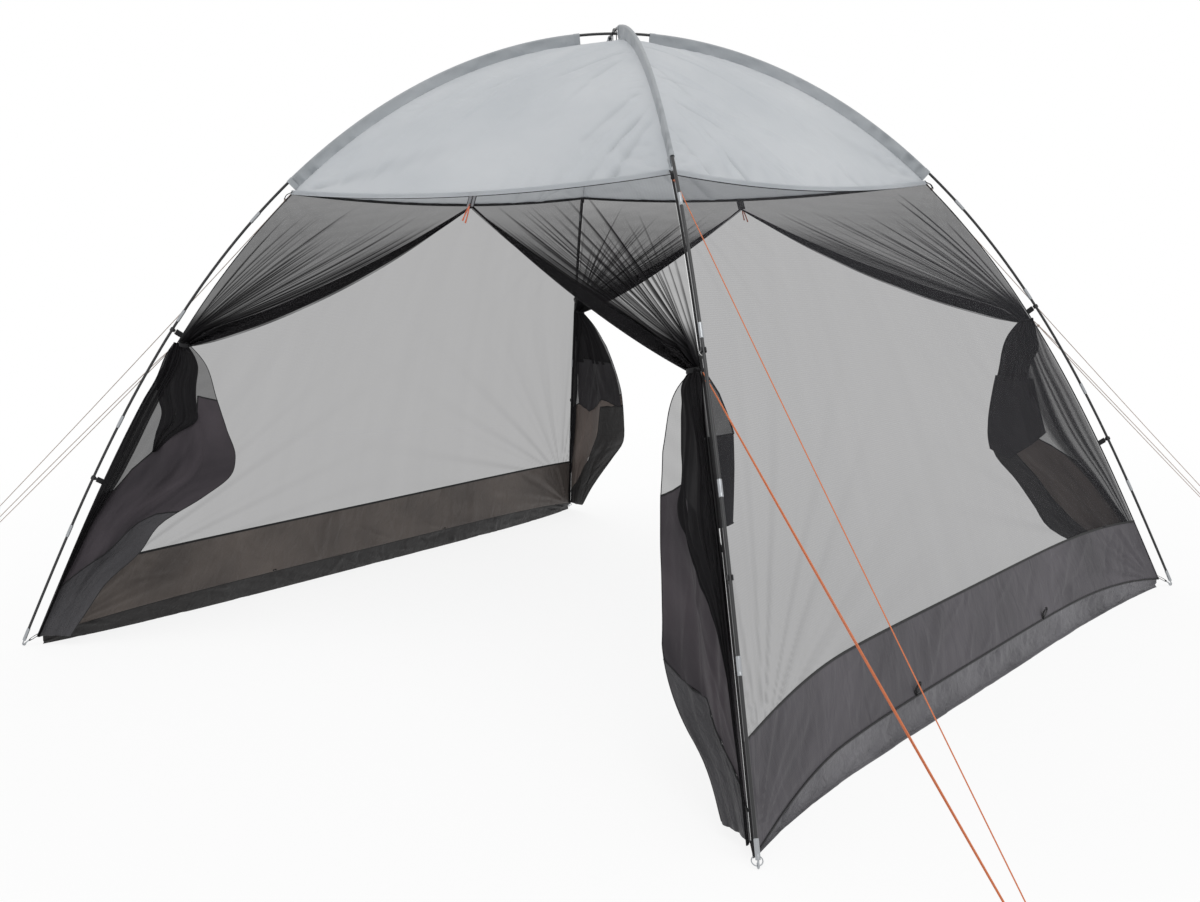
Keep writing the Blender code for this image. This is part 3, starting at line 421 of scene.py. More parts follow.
def gridUv(points, places, wrap):
    # Metres along the middle row and down the middle column
    rows, columns = points.shape[:2]
    middle = points[rows // 2]
    if wrap:
        middle = np.concatenate([middle, middle[:1]])
    across = np.concatenate([[0], np.cumsum(np.linalg.norm(np.diff(middle, axis=0), axis=1))])
    line = points[:, columns // 2]
    down = np.concatenate([[0], np.cumsum(np.linalg.norm(np.diff(line, axis=0), axis=1))])
    return np.stack([across[places[:, 0]], down[places[:, 1]]], axis=-1)


def sheetPiece(name, grids, materials, body="tent", turnOver=False, **more):
    # One cloth of one or more grids of points, rows down and columns across
    faces, uvs, count = [], [], 0
    for grid in grids:
        rows, columns = grid.shape[:2]
        quads, places = gridFaces(rows, columns, False, count)
        uv = gridUv(grid, places, False).reshape(-1, 4, 2)
        if turnOver:
            quads, uv = quads[:, ::-1], uv[:, ::-1]
        faces += quads.tolist()
        uvs.append(uv.reshape(-1, 2))
        count += rows * columns
    points = np.concatenate([grid.reshape(-1, 3) for grid in grids])
    return meshPiece(name, points, faces, np.concatenate(uvs), materials, body, **more)


def sweep(name, centres, xWays, yWays, profileX, profileY, materials, body="tent", closed=False, **more):
    # A profile carried along a path: centre + x way times profile x + y way times profile y, with end caps
    px, py = np.broadcast_arrays(np.atleast_2d(profileX), np.atleast_2d(profileY))
    points = centres[:, None] + xWays[:, None] * px[..., None] + yWays[:, None] * py[..., None]
    rows, sides = points.shape[:2]
    if closed:
        points = np.concatenate([points, points[:1]])
        rows += 1
    quads, places = gridFaces(rows, sides, True)
    uv = gridUv(points, places, True).reshape(-1, 4, 2)
    forward = points[1].mean(axis=0) - points[0].mean(axis=0)
    if np.linalg.norm(forward) < 1e-9:
        forward = points[-1].mean(axis=0) - points[0].mean(axis=0)
    ring = points[0] if np.ptp(points[0], axis=0).max() > 1e-9 else points[1]
    turn = np.cross(ring[1] - ring.mean(axis=0), ring[2] - ring.mean(axis=0)) @ forward
    if turn > 0:
        quads, uv = quads[:, ::-1], uv[:, ::-1]
    faces = quads.tolist()
    uv = uv.reshape(-1, 2)
    if not closed:
        first, last = list(range(sides)), list(range((rows - 1) * sides, rows * sides))
        faces += (first[::-1], last) if turn > 0 else (first, last[::-1])
        uv = np.concatenate([uv, np.zeros((2 * sides, 2))])
    return meshPiece(name, points, faces, uv, materials, body, merge=1e-6, **more)


def roundedBar(width, depth, sides=16, power=0.45):
    # A rounded rectangle: cosine and sine raised to a power below 1
    x, y = circle(sides)
    return np.sign(x) * np.abs(x) ** power * width / 2, np.sign(y) * np.abs(y) ** power * depth / 2


def pathWays(path, aside):
    # Unit ways across a path: one nearest to aside, and one square to both
    path = np.asarray(path, float)
    forward = np.gradient(path, axis=0)
    forward /= np.linalg.norm(forward, axis=1)[:, None]
    aside = np.broadcast_to(aside, path.shape)
    x = aside - forward * (aside * forward).sum(axis=1)[:, None]
    x /= np.linalg.norm(x, axis=1)[:, None]
    return x, np.cross(forward, x)


def tape(name, path, aside, width, depth, materials, body="tent", sides=12, **more):
    # A flat band along a path, its width lying along aside
    path = np.asarray(path, float)
    x, y = pathWays(path, aside)
    px, py = roundedBar(width, depth, sides)
    return sweep(name, path, x, y, px, py, materials, body, **more)


def webbing(name, path, aside, width, depth):
    # Black ribbed tape along a path
    return finish(tape(name, path, aside, width, depth, [bindingTape]), "band_fabric")


def rope(name, path, aside, radius, materials, body="tent", sides=10, **more):
    # A round cord along a path, of one radius or of one for each point
    path = np.asarray(path, float)
    x, y = pathWays(path, aside)
    px, py = circle(sides)
    radius = np.broadcast_to(radius, len(path))[:, None]
    return sweep(name, path, x, y, px * radius, py * radius, materials, body, **more)


def gridNormals(points):
    # The unit cross product of the ways down and across at each point
    down, across = np.gradient(points, axis=0), np.gradient(points, axis=1)
    normal = np.cross(down, across)
    return normal / np.maximum(np.linalg.norm(normal, axis=-1, keepdims=True), 1e-12)


def creases(u, v, seed, count, width, length, lean, spread):
    # Ridges and furrows: each a bell curve across a short line of random place and slant, faded to its ends
    chance = np.random.default_rng(seed)
    low, high = (u.min(), v.min()), (u.max(), v.max())
    height = np.zeros_like(u)
    for _ in range(count):
        x, y = chance.uniform(low, high)
        slant = lean + chance.normal(0, spread)
        across = (u - x) * math.cos(slant) + (v - y) * math.sin(slant)
        along = -(u - x) * math.sin(slant) + (v - y) * math.cos(slant)
        narrow, long = width * chance.uniform(0.6, 1.5), length * chance.uniform(0.5, 1.4)
        push = chance.choice([-1, 1]) * chance.uniform(0.4, 1)
        height += push * np.exp(-((across / narrow) ** 2) - (along / long) ** 2)
    return height


def fan(u, v, place, seed, waves, reach):
    # Tension folds out of a corner: sines of the angle round it, fading with the distance
    chance = np.random.default_rng(seed)
    du, dv = u - place[0], v - place[1]
    angle, far = np.arctan2(dv, du), np.hypot(du, dv)
    height = sum(math.sqrt(1 / wave) * np.sin(wave * angle + chance.uniform(0, 6.28)) for wave in waves)
    return height * np.exp(-far / reach) * smooth(0.0, 0.3 * reach, far)


# Camera, as the photograph was taken, and white studio light
camera = {
    "place": (3.078, -4.024, 1.391), "yaw": -38.17, "pitch": -8.66, "roll": -1.16, "focalPixels": 1393.7,
    "width": 1200, "shiftPixels": 4, "sensor": 36.0, "sees": 100,
}


def makeCamera():
    # The lens looks along forward, and rolls its right and up ways about it
    yaw, pitch, roll = (math.radians(camera[key]) for key in ("yaw", "pitch", "roll"))
    forward = np.array([math.sin(yaw) * math.cos(pitch), math.cos(yaw) * math.cos(pitch), math.sin(pitch)])
    right = np.array([math.cos(yaw), -math.sin(yaw), 0])
    up = np.cross(right, forward)
    across = math.cos(roll) * right + math.sin(roll) * up
    above = math.cos(roll) * up - math.sin(roll) * right
    lens = bpy.data.cameras.new("photo_camera")
    lens.sensor_width = camera["sensor"]
    lens.lens = camera["focalPixels"] / camera["width"] * camera["sensor"]
    lens.shift_x = -camera["shiftPixels"] / camera["width"]
    lens.clip_end = camera["sees"]
    made = bpy.data.objects.new("photo_camera", lens)
    rows = [(*row, place) for row, place in zip(zip(across, above, -forward), camera["place"])]
    made.matrix_world = Matrix([*rows, (0, 0, 0, 1)])
    bpy.context.scene.collection.objects.link(made)
    bpy.context.scene.camera = made


light = {
    "skyLevel": 0.66, "sunLevel": 0.9, "sunAngle": 50.0, "sunFrom": (0.40, -0.25, 0.85),
    "floorHalf": 40.0, "floorDown": 0.0005, "floorClear": (2.2, 5.5), "floorNear": 0.86, "floorGlow": 0.75,
    "floorColour": (0.93, 0.93, 0.93, 1), "floorRoughness": 0.9,
}


def raysSeen(tree):
    # 1 for a ray of the camera or of a shiny surface
    path = addNode(tree, "ShaderNodeLightPath")
    seen = addNode(tree, "ShaderNodeMath", {0: path.outputs["Is Camera Ray"],
                                            1: path.outputs["Is Glossy Ray"]}, operation="MAXIMUM")
    return path, seen.outputs[0]


def makeStage():
    # Seen from the camera and in shiny surfaces the sky is white, and it lights the tent at its own level
    world = bpy.data.worlds.new("white_studio")
    bpy.context.scene.world = world
    world.use_nodes = True
    tree = world.node_tree
    tree.nodes.clear()
    path, glossy = raysSeen(tree)
    seen = addNode(tree, "ShaderNodeMath", {0: glossy, 1: path.outputs["Is Transmission Ray"]},
                   operation="MAXIMUM")
    level = addNode(tree, "ShaderNodeMapRange", {"Value": seen.outputs[0], "To Min": light["skyLevel"],
                                                 "To Max": 1.0})
    sky = addNode(tree, "ShaderNodeBackground", {"Color": (1, 1, 1, 1), "Strength": level.outputs["Result"]})
    addNode(tree, "ShaderNodeOutputWorld", {"Surface": sky.outputs["Background"]})
    sun = bpy.data.lights.new("soft_sun", "SUN")
    sun.energy = light["sunLevel"]
    sun.angle = math.radians(light["sunAngle"])
    lamp = bpy.data.objects.new("soft_sun", sun)
    lamp.rotation_euler = Vector(light["sunFrom"]).to_track_quat("Z", "Y").to_euler()
    bpy.context.scene.collection.objects.link(lamp)

    # The floor keeps the tent's shadow and fades to white with the distance
    floorPaint = bpy.data.materials.new("white_painted_floor")
    floorPaint.use_nodes = True
    tree = floorPaint.node_tree
    tree.nodes.clear()
    matte = addNode(tree, "ShaderNodeBsdfPrincipled", {"Base Color": light["floorColour"],
                                                       "Roughness": light["floorRoughness"]})
    glow = addNode(tree, "ShaderNodeEmission", {"Color": (1, 1, 1, 1), "Strength": 1.0})
    place = addNode(tree, "ShaderNodeTexCoord").outputs["Object"]
    far = addNode(tree, "ShaderNodeVectorMath", {0: place}, operation="LENGTH").outputs["Value"]
    near, away = light["floorClear"]
    clear = addNode(tree, "ShaderNodeMapRange", {"Value": far, "From Min": near, "From Max": away,
                                                 "To Min": light["floorNear"]}).outputs["Result"]
    _, glossy = raysSeen(tree)
    seen = addNode(tree, "ShaderNodeMath", {0: glossy, 1: light["floorGlow"]}, operation="MAXIMUM")
    share = addNode(tree, "ShaderNodeMath", {0: clear, 1: seen.outputs[0]}, operation="MULTIPLY")
    both = addNode(tree, "ShaderNodeMixShader", {0: share.outputs[0], 1: matte.outputs["BSDF"],
                                                 2: glow.outputs[0]})
    addNode(tree, "ShaderNodeOutputMaterial", {"Surface": both.outputs[0]})
    half = light["floorHalf"]
    spread = np.array([[(-half, half, 0), (half, half, 0)], [(-half, -half, 0), (half, -half, 0)]], float)
    spread[..., 2] = -light["floorDown"]
    sheetPiece("studio_floor", [spread], [floorPaint], body=None)


makeCamera()
makeStage()
bpy.context.scene.view_settings.view_transform = "Standard"
print("camera and studio ready")


# Guy lines
guyLines = {
    "diameter": 0.003, "points": 24, "sagShare": 0.004, "seamGap": 0.0004, "pegApart": 0.048,
    "netRows": {"upper": 0, "lower": 3}, "netRowCount": 7, "sides": 10,
    "pegs": {"front_right": (2.33, -1.73), "front_left": (-2.43, -1.53), "rear_right": (1.63, 2.43)},
    "knot": 0.0062, "knotRing": 0.62, "knotWire": 0.42, "knotIn": 0.03, "knotSides": 8, "knotPoints": 60,
    "tabWidth": 0.014, "tabDepth": 0.0022,
    "strandApart": {"front_right": 0.005, "front_left": 0.016, "rear_right": 0.012},
}


def guyPath(corner, level):
    # A straight line from the corner seam to the peg, lowered by a parabola
    ways = np.linspace(arch["canopyEdge"], arch["bandTop"], guyLines["netRowCount"] + 1)
    upPole = ways[guyLines["netRows"][level]]
    half = guyLines["diameter"] / 2
    start = inSpace(meanArch, corner, upPole, half + guyLines["seamGap"] - cornerDrop(upPole))
    peg = np.array([*guyLines["pegs"][corner], half])
    if level == "lower":
        back = start[:2] - peg[:2]
        peg[:2] += back / np.linalg.norm(back) * guyLines["pegApart"]
    share = np.linspace(0, 1, guyLines["points"])
    path = start + (peg - start) * share[:, None]
    path[:, 2] -= guyLines["sagShare"] * np.linalg.norm(peg - start) * 4 * share * (1 - share)
    path[:, 2] = np.maximum(path[:, 2], half)
    return path


def knotPath(middle, forward, aside, size, turns=2.0):
    # An overhand knot: a ring about the cord that rises and falls three times as it goes round twice
    turn = np.linspace(0.3, 2 * math.pi * turns - 0.3, guyLines["knotPoints"])
    up = np.cross(forward, aside)
    ring = 1 + 0.35 * np.cos(1.5 * turn)
    return (middle + forward * (0.8 * size * np.sin(1.5 * turn))[:, None]
            + aside * (size * ring * np.cos(turn))[:, None] + up * (size * ring * np.sin(turn))[:, None])


def makeGuys():
    # Each cord with its two knots; a lower one has a second strand, bowed off it by a power of a sine
    size, thick, sides = guyLines["knot"], guyLines["diameter"], guyLines["sides"]
    for corner in guyLines["pegs"]:
        for level in guyLines["netRows"]:
            path = guyPath(corner, level)
            name = f"{corner}_{level}_guy"
            cord = guyCord if corner == "front_right" else guyCordPale
            line = finish(rope(f"{name}_cord", path, skyward, thick / 2, [cord], sides=sides), "guy_cord",
                          f"{corner}_{level}_guy_line")
            forward = path[1] - path[0]
            forward /= np.linalg.norm(forward)
            x, _ = pathWays(path[:2], skyward)
            for end, middle in (("start", path[0] + forward * guyLines["knotIn"]),
                                ("peg", path[-1] - forward * guyLines["knotIn"])):
                middle[2] = max(middle[2], size * 1.5)
                loops = knotPath(middle, forward, x[0], size * guyLines["knotRing"])
                finish(rope(f"{name}_{end}_knot", loops, forward, thick * guyLines["knotWire"],
                                         [cord], sides=guyLines["knotSides"]), "guy_cord")
            if level == "lower":
                share = np.linspace(0, 1, guyLines["points"])[:, None]
                second = path + x[0] * guyLines["strandApart"][corner] * np.sin(math.pi * share) ** 0.6
                finish(rope(f"{name}_second_strand", second, skyward, thick / 2, [cord],
                                         sides=sides), "guy_cord")
    print("guy lines laid")


makeGuys()


# Canopy of four sewn panels, and its folded hem
canopy = {
    "columns": 151, "rows": 150, "topShare": 0.0015, "merge": 1e-4,
    "creaseDepth": 0.010, "creaseWidth": 0.012, "creaseLength": 0.30, "creases": 44, "creaseSpread": 0.28,
    "creaseLeans": (0.62, -0.55, 0.60, -0.58), "creaseShadeTone": 0.5, "creaseShadeFrom": 0.12,
    "fanDepth": 0.014, "fanWaves": (9, 14, 23), "fanReach": 0.42, "hemRipple": 0.0012, "ridgePucker": 0.0042,
    "hemWidth": 0.016, "hemDepth": 0.003, "hemPoints": 97, "hemRise": 0.42, "hemLean": 0.55,
    "hemAllowance": 1.06,
}
panelFall = meanArch["length"] - arch["canopyEdge"]  # metres from the top down a ridge to the hem


def turnedQuarter(points, quarter):
    # Turned about the upright axis by a number of right angles
    cosine, sine = math.cos(quarter * math.pi / 2), math.sin(quarter * math.pi / 2)
    return points @ np.array([[cosine, -sine, 0], [sine, cosine, 0], [0, 0, 1]]).round(12).T


def canopyPanel(across, share):
    # Level lines from ridge to ridge, bulged out by a sine of the way down and sagging at the hem
    half, height = seamAt(meanArch["length"] - share * panelFall, arch["ridgeDrop"])
    belly = 1 - across**2
    return np.stack([across * half, -half - arch["panelBulge"] * np.sin(math.pi * share) * belly,
                     height - arch["hemSag"] * belly * share**2], axis=-1)


def panelLift(across, share, points, quarter):
    # Stuff sack creases, fans out of both corners, ripples along the hem and puckers along the ridges
    u, v = points[..., 0], share * panelFall
    lean = canopy["creaseLeans"][quarter]
    lift = canopy["creaseDepth"] * creases(u, v, 11 + quarter, canopy["creases"], canopy["creaseWidth"],
                                           canopy["creaseLength"], lean, canopy["creaseSpread"])
    lift *= 0.35 + 0.65 * smooth(-0.6, 0.5, across * math.copysign(1, lean))
    for side in (-1, 1):
        place = (side * points[-1, -1, 0], v.max())
        lift += canopy["fanDepth"] * fan(u, v, place, 31 + quarter + side, canopy["fanWaves"],
                                         canopy["fanReach"])
    lift += canopy["hemRipple"] * np.sin(across * 46 + 3 * np.sin(share * 7)) * smooth(0.75, 1.0, share)
    pucker = np.sin(v * 88 + 3 * np.sin(v * 15 + quarter)) * smooth(0.78, 0.96, np.abs(across))
    lift += canopy["ridgePucker"] * pucker
    return lift * ((1 - across**8) * smooth(0.0, 0.12, share) * (1 - smooth(0.975, 1.0, share)))


def makeCanopy():
    # One panel turned to four sides, and a flat fold carried round the hem
    across, share = paramGrid(canopy["columns"], canopy["rows"], (-1, 1), (canopy["topShare"], 1))
    panels, creaseShadeMasks = [], []
    for quarter in range(4):
        points = canopyPanel(across, share)
        lift = panelLift(across, share, points, quarter)
        points += gridNormals(points) * lift[..., None]
        panels.append(turnedQuarter(points, quarter))
        # Painted shade: where a crease sinks the cloth, its colour darkens with the depth
        sunk = -lift / canopy["creaseDepth"] - canopy["creaseShadeFrom"]
        creaseShadeMasks.append(np.clip(canopy["creaseShadeTone"] * sunk, 0, 1).ravel())
    cover = sheetPiece("canopy_cover", panels, [canopyCloth], merge=canopy["merge"],
                       creased=np.concatenate(creaseShadeMasks))
    finish(cover, "canopy_fabric", "canopy")
    edge = np.linspace(-1, 1, canopy["hemPoints"])[:-1]
    side = canopyPanel(edge, np.ones_like(edge))
    hem = np.concatenate([turnedQuarter(side, quarter) for quarter in range(4)])
    hem[:, 2] += canopy["hemWidth"] * canopy["hemRise"]
    down = np.stack([hem[:, 0], hem[:, 1], np.zeros(len(hem))], axis=-1)
    down = skyward - canopy["hemLean"] * down / np.linalg.norm(down, axis=1)[:, None]
    x, y = pathWays(np.concatenate([hem, hem[:1]]), np.concatenate([down, down[:1]]))
    px, py = roundedBar(canopy["hemWidth"], canopy["hemDepth"], 10)
    fold = finish(sweep("canopy_hem", hem, x[:-1], y[:-1], px, py, [canopyCloth], closed=True),
                  "canopy_fabric")


makeCanopy()


# Hollow pole sleeves that stand on the ridges
# The sleeve's tone sets the strength of painted shade in the dents of its ripple
sleeve = {
    "rows": 110, "wallPoints": 9, "arcPoints": 11, "clearance": 0.0012, "seamHalf": 0.0024, "ripple": 0.0036,
    "mouth": 0.020, "mouthGrow": 0.0012, "mouthRows": 7, "tone": 0.35, "sharp": 80,
}


def sleeveGrid(corner, ways, grow=0.0, ripple=1.0):
    # Up one wall from the seam, round over the pole, and down the other wall
    line = poleArches[corner]
    side, out, _ = poleAxes(line, corner, ways)
    centre = inSpace(line, corner, ways)
    seamWays = ways * meanArch["length"] / line["length"]
    seam = inSpace(meanArch, corner, seamWays, arch["clothHalf"] - arch["ridgeDrop"])
    depth = ((centre - seam) * out).sum(axis=1)
    radius = arch["rod"] / 2 + sleeve["clearance"] + grow
    turn = np.linspace(0, math.pi, sleeve["arcPoints"])
    climb = np.linspace(0, 1, sleeve["wallPoints"])[:-1]
    root = sleeve["seamHalf"] + grow
    upWall = root + (radius - root) * climb
    x = np.concatenate([upWall, radius * np.cos(turn), -upWall[::-1]])
    share = np.concatenate([1 - climb, np.zeros_like(turn), 1 - climb[::-1]])
    lift = np.concatenate([np.zeros_like(climb), radius * np.sin(turn), np.zeros_like(climb)])
    way, _ = np.meshgrid(ways, np.arange(len(x)), indexing="ij")
    low = 1 - smooth(ways.min(), ways.min() + 0.5, way)
    wave = np.sin(way * 90 + 2.2 * np.sin(way * 23)) * (0.35 + 0.9 * low) + 0.6 * np.sin(way * 37 + 1.0)
    sideShift = ripple * sleeve["ripple"] * wave * np.sin(math.pi * np.clip(share[None], 0, 1))
    y = lift[None] - depth[:, None] * share[None]
    points = centre[:, None] + side[:, None] * (x[None] + sideShift)[..., None] + out[:, None] * y[..., None]
    # The second result is painted shade: a share for darkening where the ripple dents the cloth, most near
    # the low end
    return points, np.clip(-wave * ripple, 0, 1) * low


def makeSleeves():
    # A tube of cloth up each ridge, and a wider fold at both of its mouths
    for corner in corners:
        scale = poleArches[corner]["length"] / meanArch["length"]
        low, high = arch["sleeveStart"] * scale, (meanArch["length"] - arch["sleeveEndFromTop"]) * scale
        # The ripple's dents get painted shade through a darker colour
        grid, creaseShadeMasks = sleeveGrid(corner, np.linspace(low, high, sleeve["rows"]))
        cover = sheetPiece(f"{corner}_ridge_sleeve", [grid], [sleeveCloth], turnOver=True,
                           sharp=sleeve["sharp"], creased=sleeve["tone"] * creaseShadeMasks)
        finish(cover, "canopy_fabric", f"{corner}_pole_sleeve")
        for name, start in (("low", low), ("high", high - sleeve["mouth"])):
            mouth = np.linspace(start, start + sleeve["mouth"], sleeve["mouthRows"])
            fold, _ = sleeveGrid(corner, mouth, sleeve["mouthGrow"], 0.0)
            finish(sheetPiece(f"{corner}_sleeve_{name}_hem", [fold], [sleeveCloth], turnOver=True,
                                          sharp=sleeve["sharp"]), "canopy_fabric")
    print("sleeves sewn")


makeSleeves()


# Poles: bent rods, steel ferrules, tip tubes, and the crown rods inside the sleeves
pole = {
    "sides": 20, "rodRows": 10, "crownRows": 140, "ferrule": 0.0122, "ferruleLength": 0.046,
    "chamfer": 0.0009, "tipLength": 0.047, "tipLap": 0.002, "crimp": 0.00035, "crimpHalf": 0.0015,
    "ferruleCrimpAt": 0.009, "tipCrimpAt": 0.0135, "buttGap": 0.0004, "mouth": 0.98, "tipMouth": 0.62,
}


def poleTube(name, corner, ways, radii, material, node, slotName):
    # A circle of changing radius carried along the pole's bent middle line
    line = poleArches[corner]
    ways, radii = np.asarray(ways, float), np.asarray(radii, float)
    side, out, _ = poleAxes(line, corner, ways)
    px, py = circle(pole["sides"])
    made = sweep(name, inSpace(line, corner, ways), side, out, px * radii[:, None], py * radii[:, None],
                 [material], sharp=35)
    return finish(made, slotName, node)


def tubeProfile(start, end, crimpAt, mouth):
    # Way and radius of a steel tube: chamfered ends, and one ring pressed in at the crimp
    rod, tube, cut, half = arch["rod"] / 2, pole["ferrule"] / 2, pole["chamfer"], pole["crimpHalf"]
    return zip((start, rod * mouth), (start, tube - cut), (start + cut, tube), (crimpAt - half, tube),
               (crimpAt, tube - pole["crimp"]), (crimpAt + half, tube), (end - cut, tube), (end, tube - cut),
               (end, rod * pole["mouth"]))


def makePoles():
    # Rods and ferrules at even steps up each leg, and a rod over the top between two legs
    rod, pitch = arch["rod"] / 2, arch["sectionPitch"]
    for corner in corners:
        for number in range(1, arch["sections"] + 1):
            node = f"{corner}_pole_section_{number}"
            low = (number - 1) * pitch + pole["buttGap"] if number > 1 else pole["tipLength"] - pole["tipLap"]
            joint = number * pitch
            ways = np.linspace(low, joint, pole["rodRows"])
            poleTube(f"{corner}_rod_{number}", corner, ways, np.full(len(ways), rod), rodFinish, node,
                     "pole_rod")
            start, end = joint - pole["ferruleLength"] / 2, joint + pole["ferruleLength"] / 2
            profile = tubeProfile(start, end, start + pole["ferruleCrimpAt"], pole["mouth"])
            poleTube(f"{corner}_ferrule_{number}", corner, *profile, ferruleFinish, node, "steel_wire")
        profile = tubeProfile(0, pole["tipLength"], pole["tipCrimpAt"], pole["tipMouth"])
        poleTube(f"{corner}_tip_tube", corner, *profile, ferruleFinish, f"{corner}_pole_section_1",
                 "steel_wire")
    for corner, other in (("front_right", "rear_left"), ("front_left", "rear_right")):
        low = arch["sections"] * pitch + pole["buttGap"]
        ways = np.linspace(low, 2 * poleArches[corner]["length"] - low, pole["crownRows"])
        poleTube(f"crown_rod_{corner}", corner, ways, np.full(len(ways), rod), rodFinish,
                 f"crown_pole_{corner}_to_{other}", "pole_rod")
    print("poles bent")


makePoles()


# Corner pins with a hooked end, and the rings that hang in the hooks
foot = {
    "pin": 0.0048, "pinDepth": 0.030, "tipRise": 0.0075, "tipTaper": 0.6, "crook": 0.0046, "crookPoints": 18,
    "ring": 0.026, "ringWire": 0.0028, "ringPoints": 56, "ringLean": math.radians(32),
    "weldAt": 1.1, "weldHalf": 0.12, "weldSwell": 0.13,
    "strapWidth": 0.013, "strapDepth": 0.0016, "strapGap": 0.0004, "strapPoints": 44,
    "strapRoot": 0.002, "strapOpen": 0.0032, "strapUp": 0.012, "strapShare": 0.45,
}


def footFrame(corner):
    # The pole's lower end, the middle of the pin's hook on the ground below it, and the pole's ways there
    line = poleArches[corner]
    side, out, up = (axis[0] for axis in poleAxes(line, corner, np.array([0.0])))
    end = inSpace(line, corner, 0.0)
    fall = (end[2] - (foot["crook"] + foot["pin"] / 2) + foot["crook"] * -out[2]) / up[2]
    return end, end - up * fall - out * foot["crook"], side, out, up


def makePin(corner, end, crook, side, out, up):
    # Down out of the tube, half round the hook, and up to its tapered tip
    turn = np.linspace(0, math.pi, foot["crookPoints"])
    bend = crook + foot["crook"] * (out * np.cos(turn)[:, None] - up * np.sin(turn)[:, None])
    rise = up * foot["tipRise"]
    path = np.concatenate([[end + up * foot["pinDepth"], end], bend, [bend[-1] + rise * 0.85],
                           [bend[-1] + rise]])
    radii = np.full(len(path), foot["pin"] / 2)
    radii[-1] *= foot["tipTaper"]
    finish(rope(f"{corner}_hook_pin", path, side, radii, [wireFinish], sides=14), "steel_wire",
           f"{corner}_corner_pin")


def makeFeet():
    # Each ring is a circle swelled by a bell curve at its weld, leaning in from the pin's hook
    for corner in corners:
        end, crook, side, out, up = footFrame(corner)
        makePin(corner, end, crook, side, out, up)
        lean = up * math.cos(foot["ringLean"]) - out * math.sin(foot["ringLean"])
        flatWay = np.cross(side, lean)
        radius = foot["ring"] / 2
        turn = fullTurn(foot["ringPoints"])
        outward = side * np.cos(turn)[:, None] + lean * np.sin(turn)[:, None]
        weld = 1 + foot["weldSwell"] * np.exp(-((turn - foot["weldAt"]) / foot["weldHalf"]) ** 2)
        px, py = circle(12)
        thick = (foot["ringWire"] / 2 * weld)[:, None]
        finish(sweep(f"{corner}_wire_ring", crook + lean * radius + outward * radius, outward,
                     np.broadcast_to(flatWay, outward.shape), px * thick, py * thick, [wireFinish],
                     f"{corner}_ring", closed=True), "steel_wire", f"{corner}_corner_ring")
        # The strap runs from the cloth's corner round the ring's far side and back
        half, height = seamAt(arch["wallFoot"] + foot["strapUp"], arch["wallDrop"])
        cloth = np.array([corners[corner][0] * half, corners[corner][1] * half, height])
        far = crook + lean * foot["ring"]
        middle = far * foot["strapShare"] + cloth * (1 - foot["strapShare"])
        loop = flatWay if flatWay[2] > 0 else -flatWay
        gap = foot["ringWire"] / 2 + foot["strapDepth"] / 2 + foot["strapGap"]
        knots = [cloth + loop * foot["strapRoot"], middle + loop * foot["strapOpen"], far + loop * gap,
                 far - lean * gap, far - loop * gap, middle - loop * foot["strapOpen"],
                 cloth - loop * foot["strapRoot"]]
        strap = tape(f"{corner}_ring_strap", curveThrough(knots, foot["strapPoints"]), side,
                     foot["strapWidth"], foot["strapDepth"], [bindingTape], body=None)
        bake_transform(strap)
    print("feet made")


makeFeet()


# Closed walls: net, band with its matt coated inner side in a brown tone of painted backlight, mud flap, and
# the seams between them
wall = {
    "net": {"columns": 221, "rows": 120, "crease": 0.0035, "creases": (16, 0.025, 0.5, 0.12, 0.25),
            "lowFan": 0.012, "lowWaves": (13, 21, 31), "highFan": 0.006, "highWaves": (11, 19),
            "lowStreaks": (31, 47, 83), "highStreaks": (23, 41), "streak": 1.6, "edge": 12, "rise": 0.05,
            "fade": 0.02},
    "band": {"columns": 261, "rows": 34, "crease": 0.0048, "creases": (60, 0.013, 0.11, 0.75, 0.35),
             "fan": 0.014, "waves": (17, 27, 43), "edge": 40, "rise": 0.03, "fade": 0.03},
    "flap": {"columns": 361, "rows": 22, "crease": 0.0052, "creases": (170, 0.009, 0.05, 0.95, 0.35),
             "wave": 0.0010, "reach": 0.020, "lip": 0.016, "lipFrom": 0.8, "endShare": 0.1, "endGap": 0.016,
             "power": 6.0, "frontPower": 2.6, "cloth": 0.11, "offFloor": 0.0012, "bump": 0.4},
    "cornerFan": 1.34, "hemFan": 0.93, "footFan": 1.45, "pushWay": (1, 0, 0.3),
    "clothDepth": 0.0010, "middlePower": 4.5, "frontDip": 0.028, "frontFall": 0.034, "lowest": 0.0045,
    "seams": {"band_top": 0.008, "band_foot": 0.006}, "seamDepth": 0.0032, "seamOut": 0.0006,
    "pegLoops": (-0.315, 0.34), "loopHeight": 0.034, "loopOut": 0.010, "loopOpen": 0.0035, "loopSide": 0.004,
    "loopWidth": 0.016, "loopDepth": 0.0018,
}


def wallPoints(way, across, fall=0.0):
    # The corner seams joined across, drawn in at the middle of the foot, the hem's sag fading downwards
    share = (arch["canopyEdge"] - way) / (arch["canopyEdge"] - arch["wallFoot"])
    half, height = seamAt(way, cornerDrop(way))
    _, footHeight = seamAt(arch["wallFoot"], arch["wallDrop"])
    middle = 1 - np.abs(across) ** wall["middlePower"]
    x = half - arch["bandInset"] * share**2 * middle
    z = height + (arch["bandSeamHeight"] - footHeight) * share**4 * middle - hemDrop(across) * (1 - share)
    z = z - fall * share**12 * smooth(0.62, 0.95, -across)
    return np.stack([x, across * half, np.maximum(z, wall["lowest"])], axis=-1)


def bandTopAt(sign, across):
    # The right wall's band is drawn down at its front corner
    dip = wall["frontDip"] if sign > 0 else 0.0
    return arch["bandTop"] - dip * smooth(0.55, 1.0, -across)


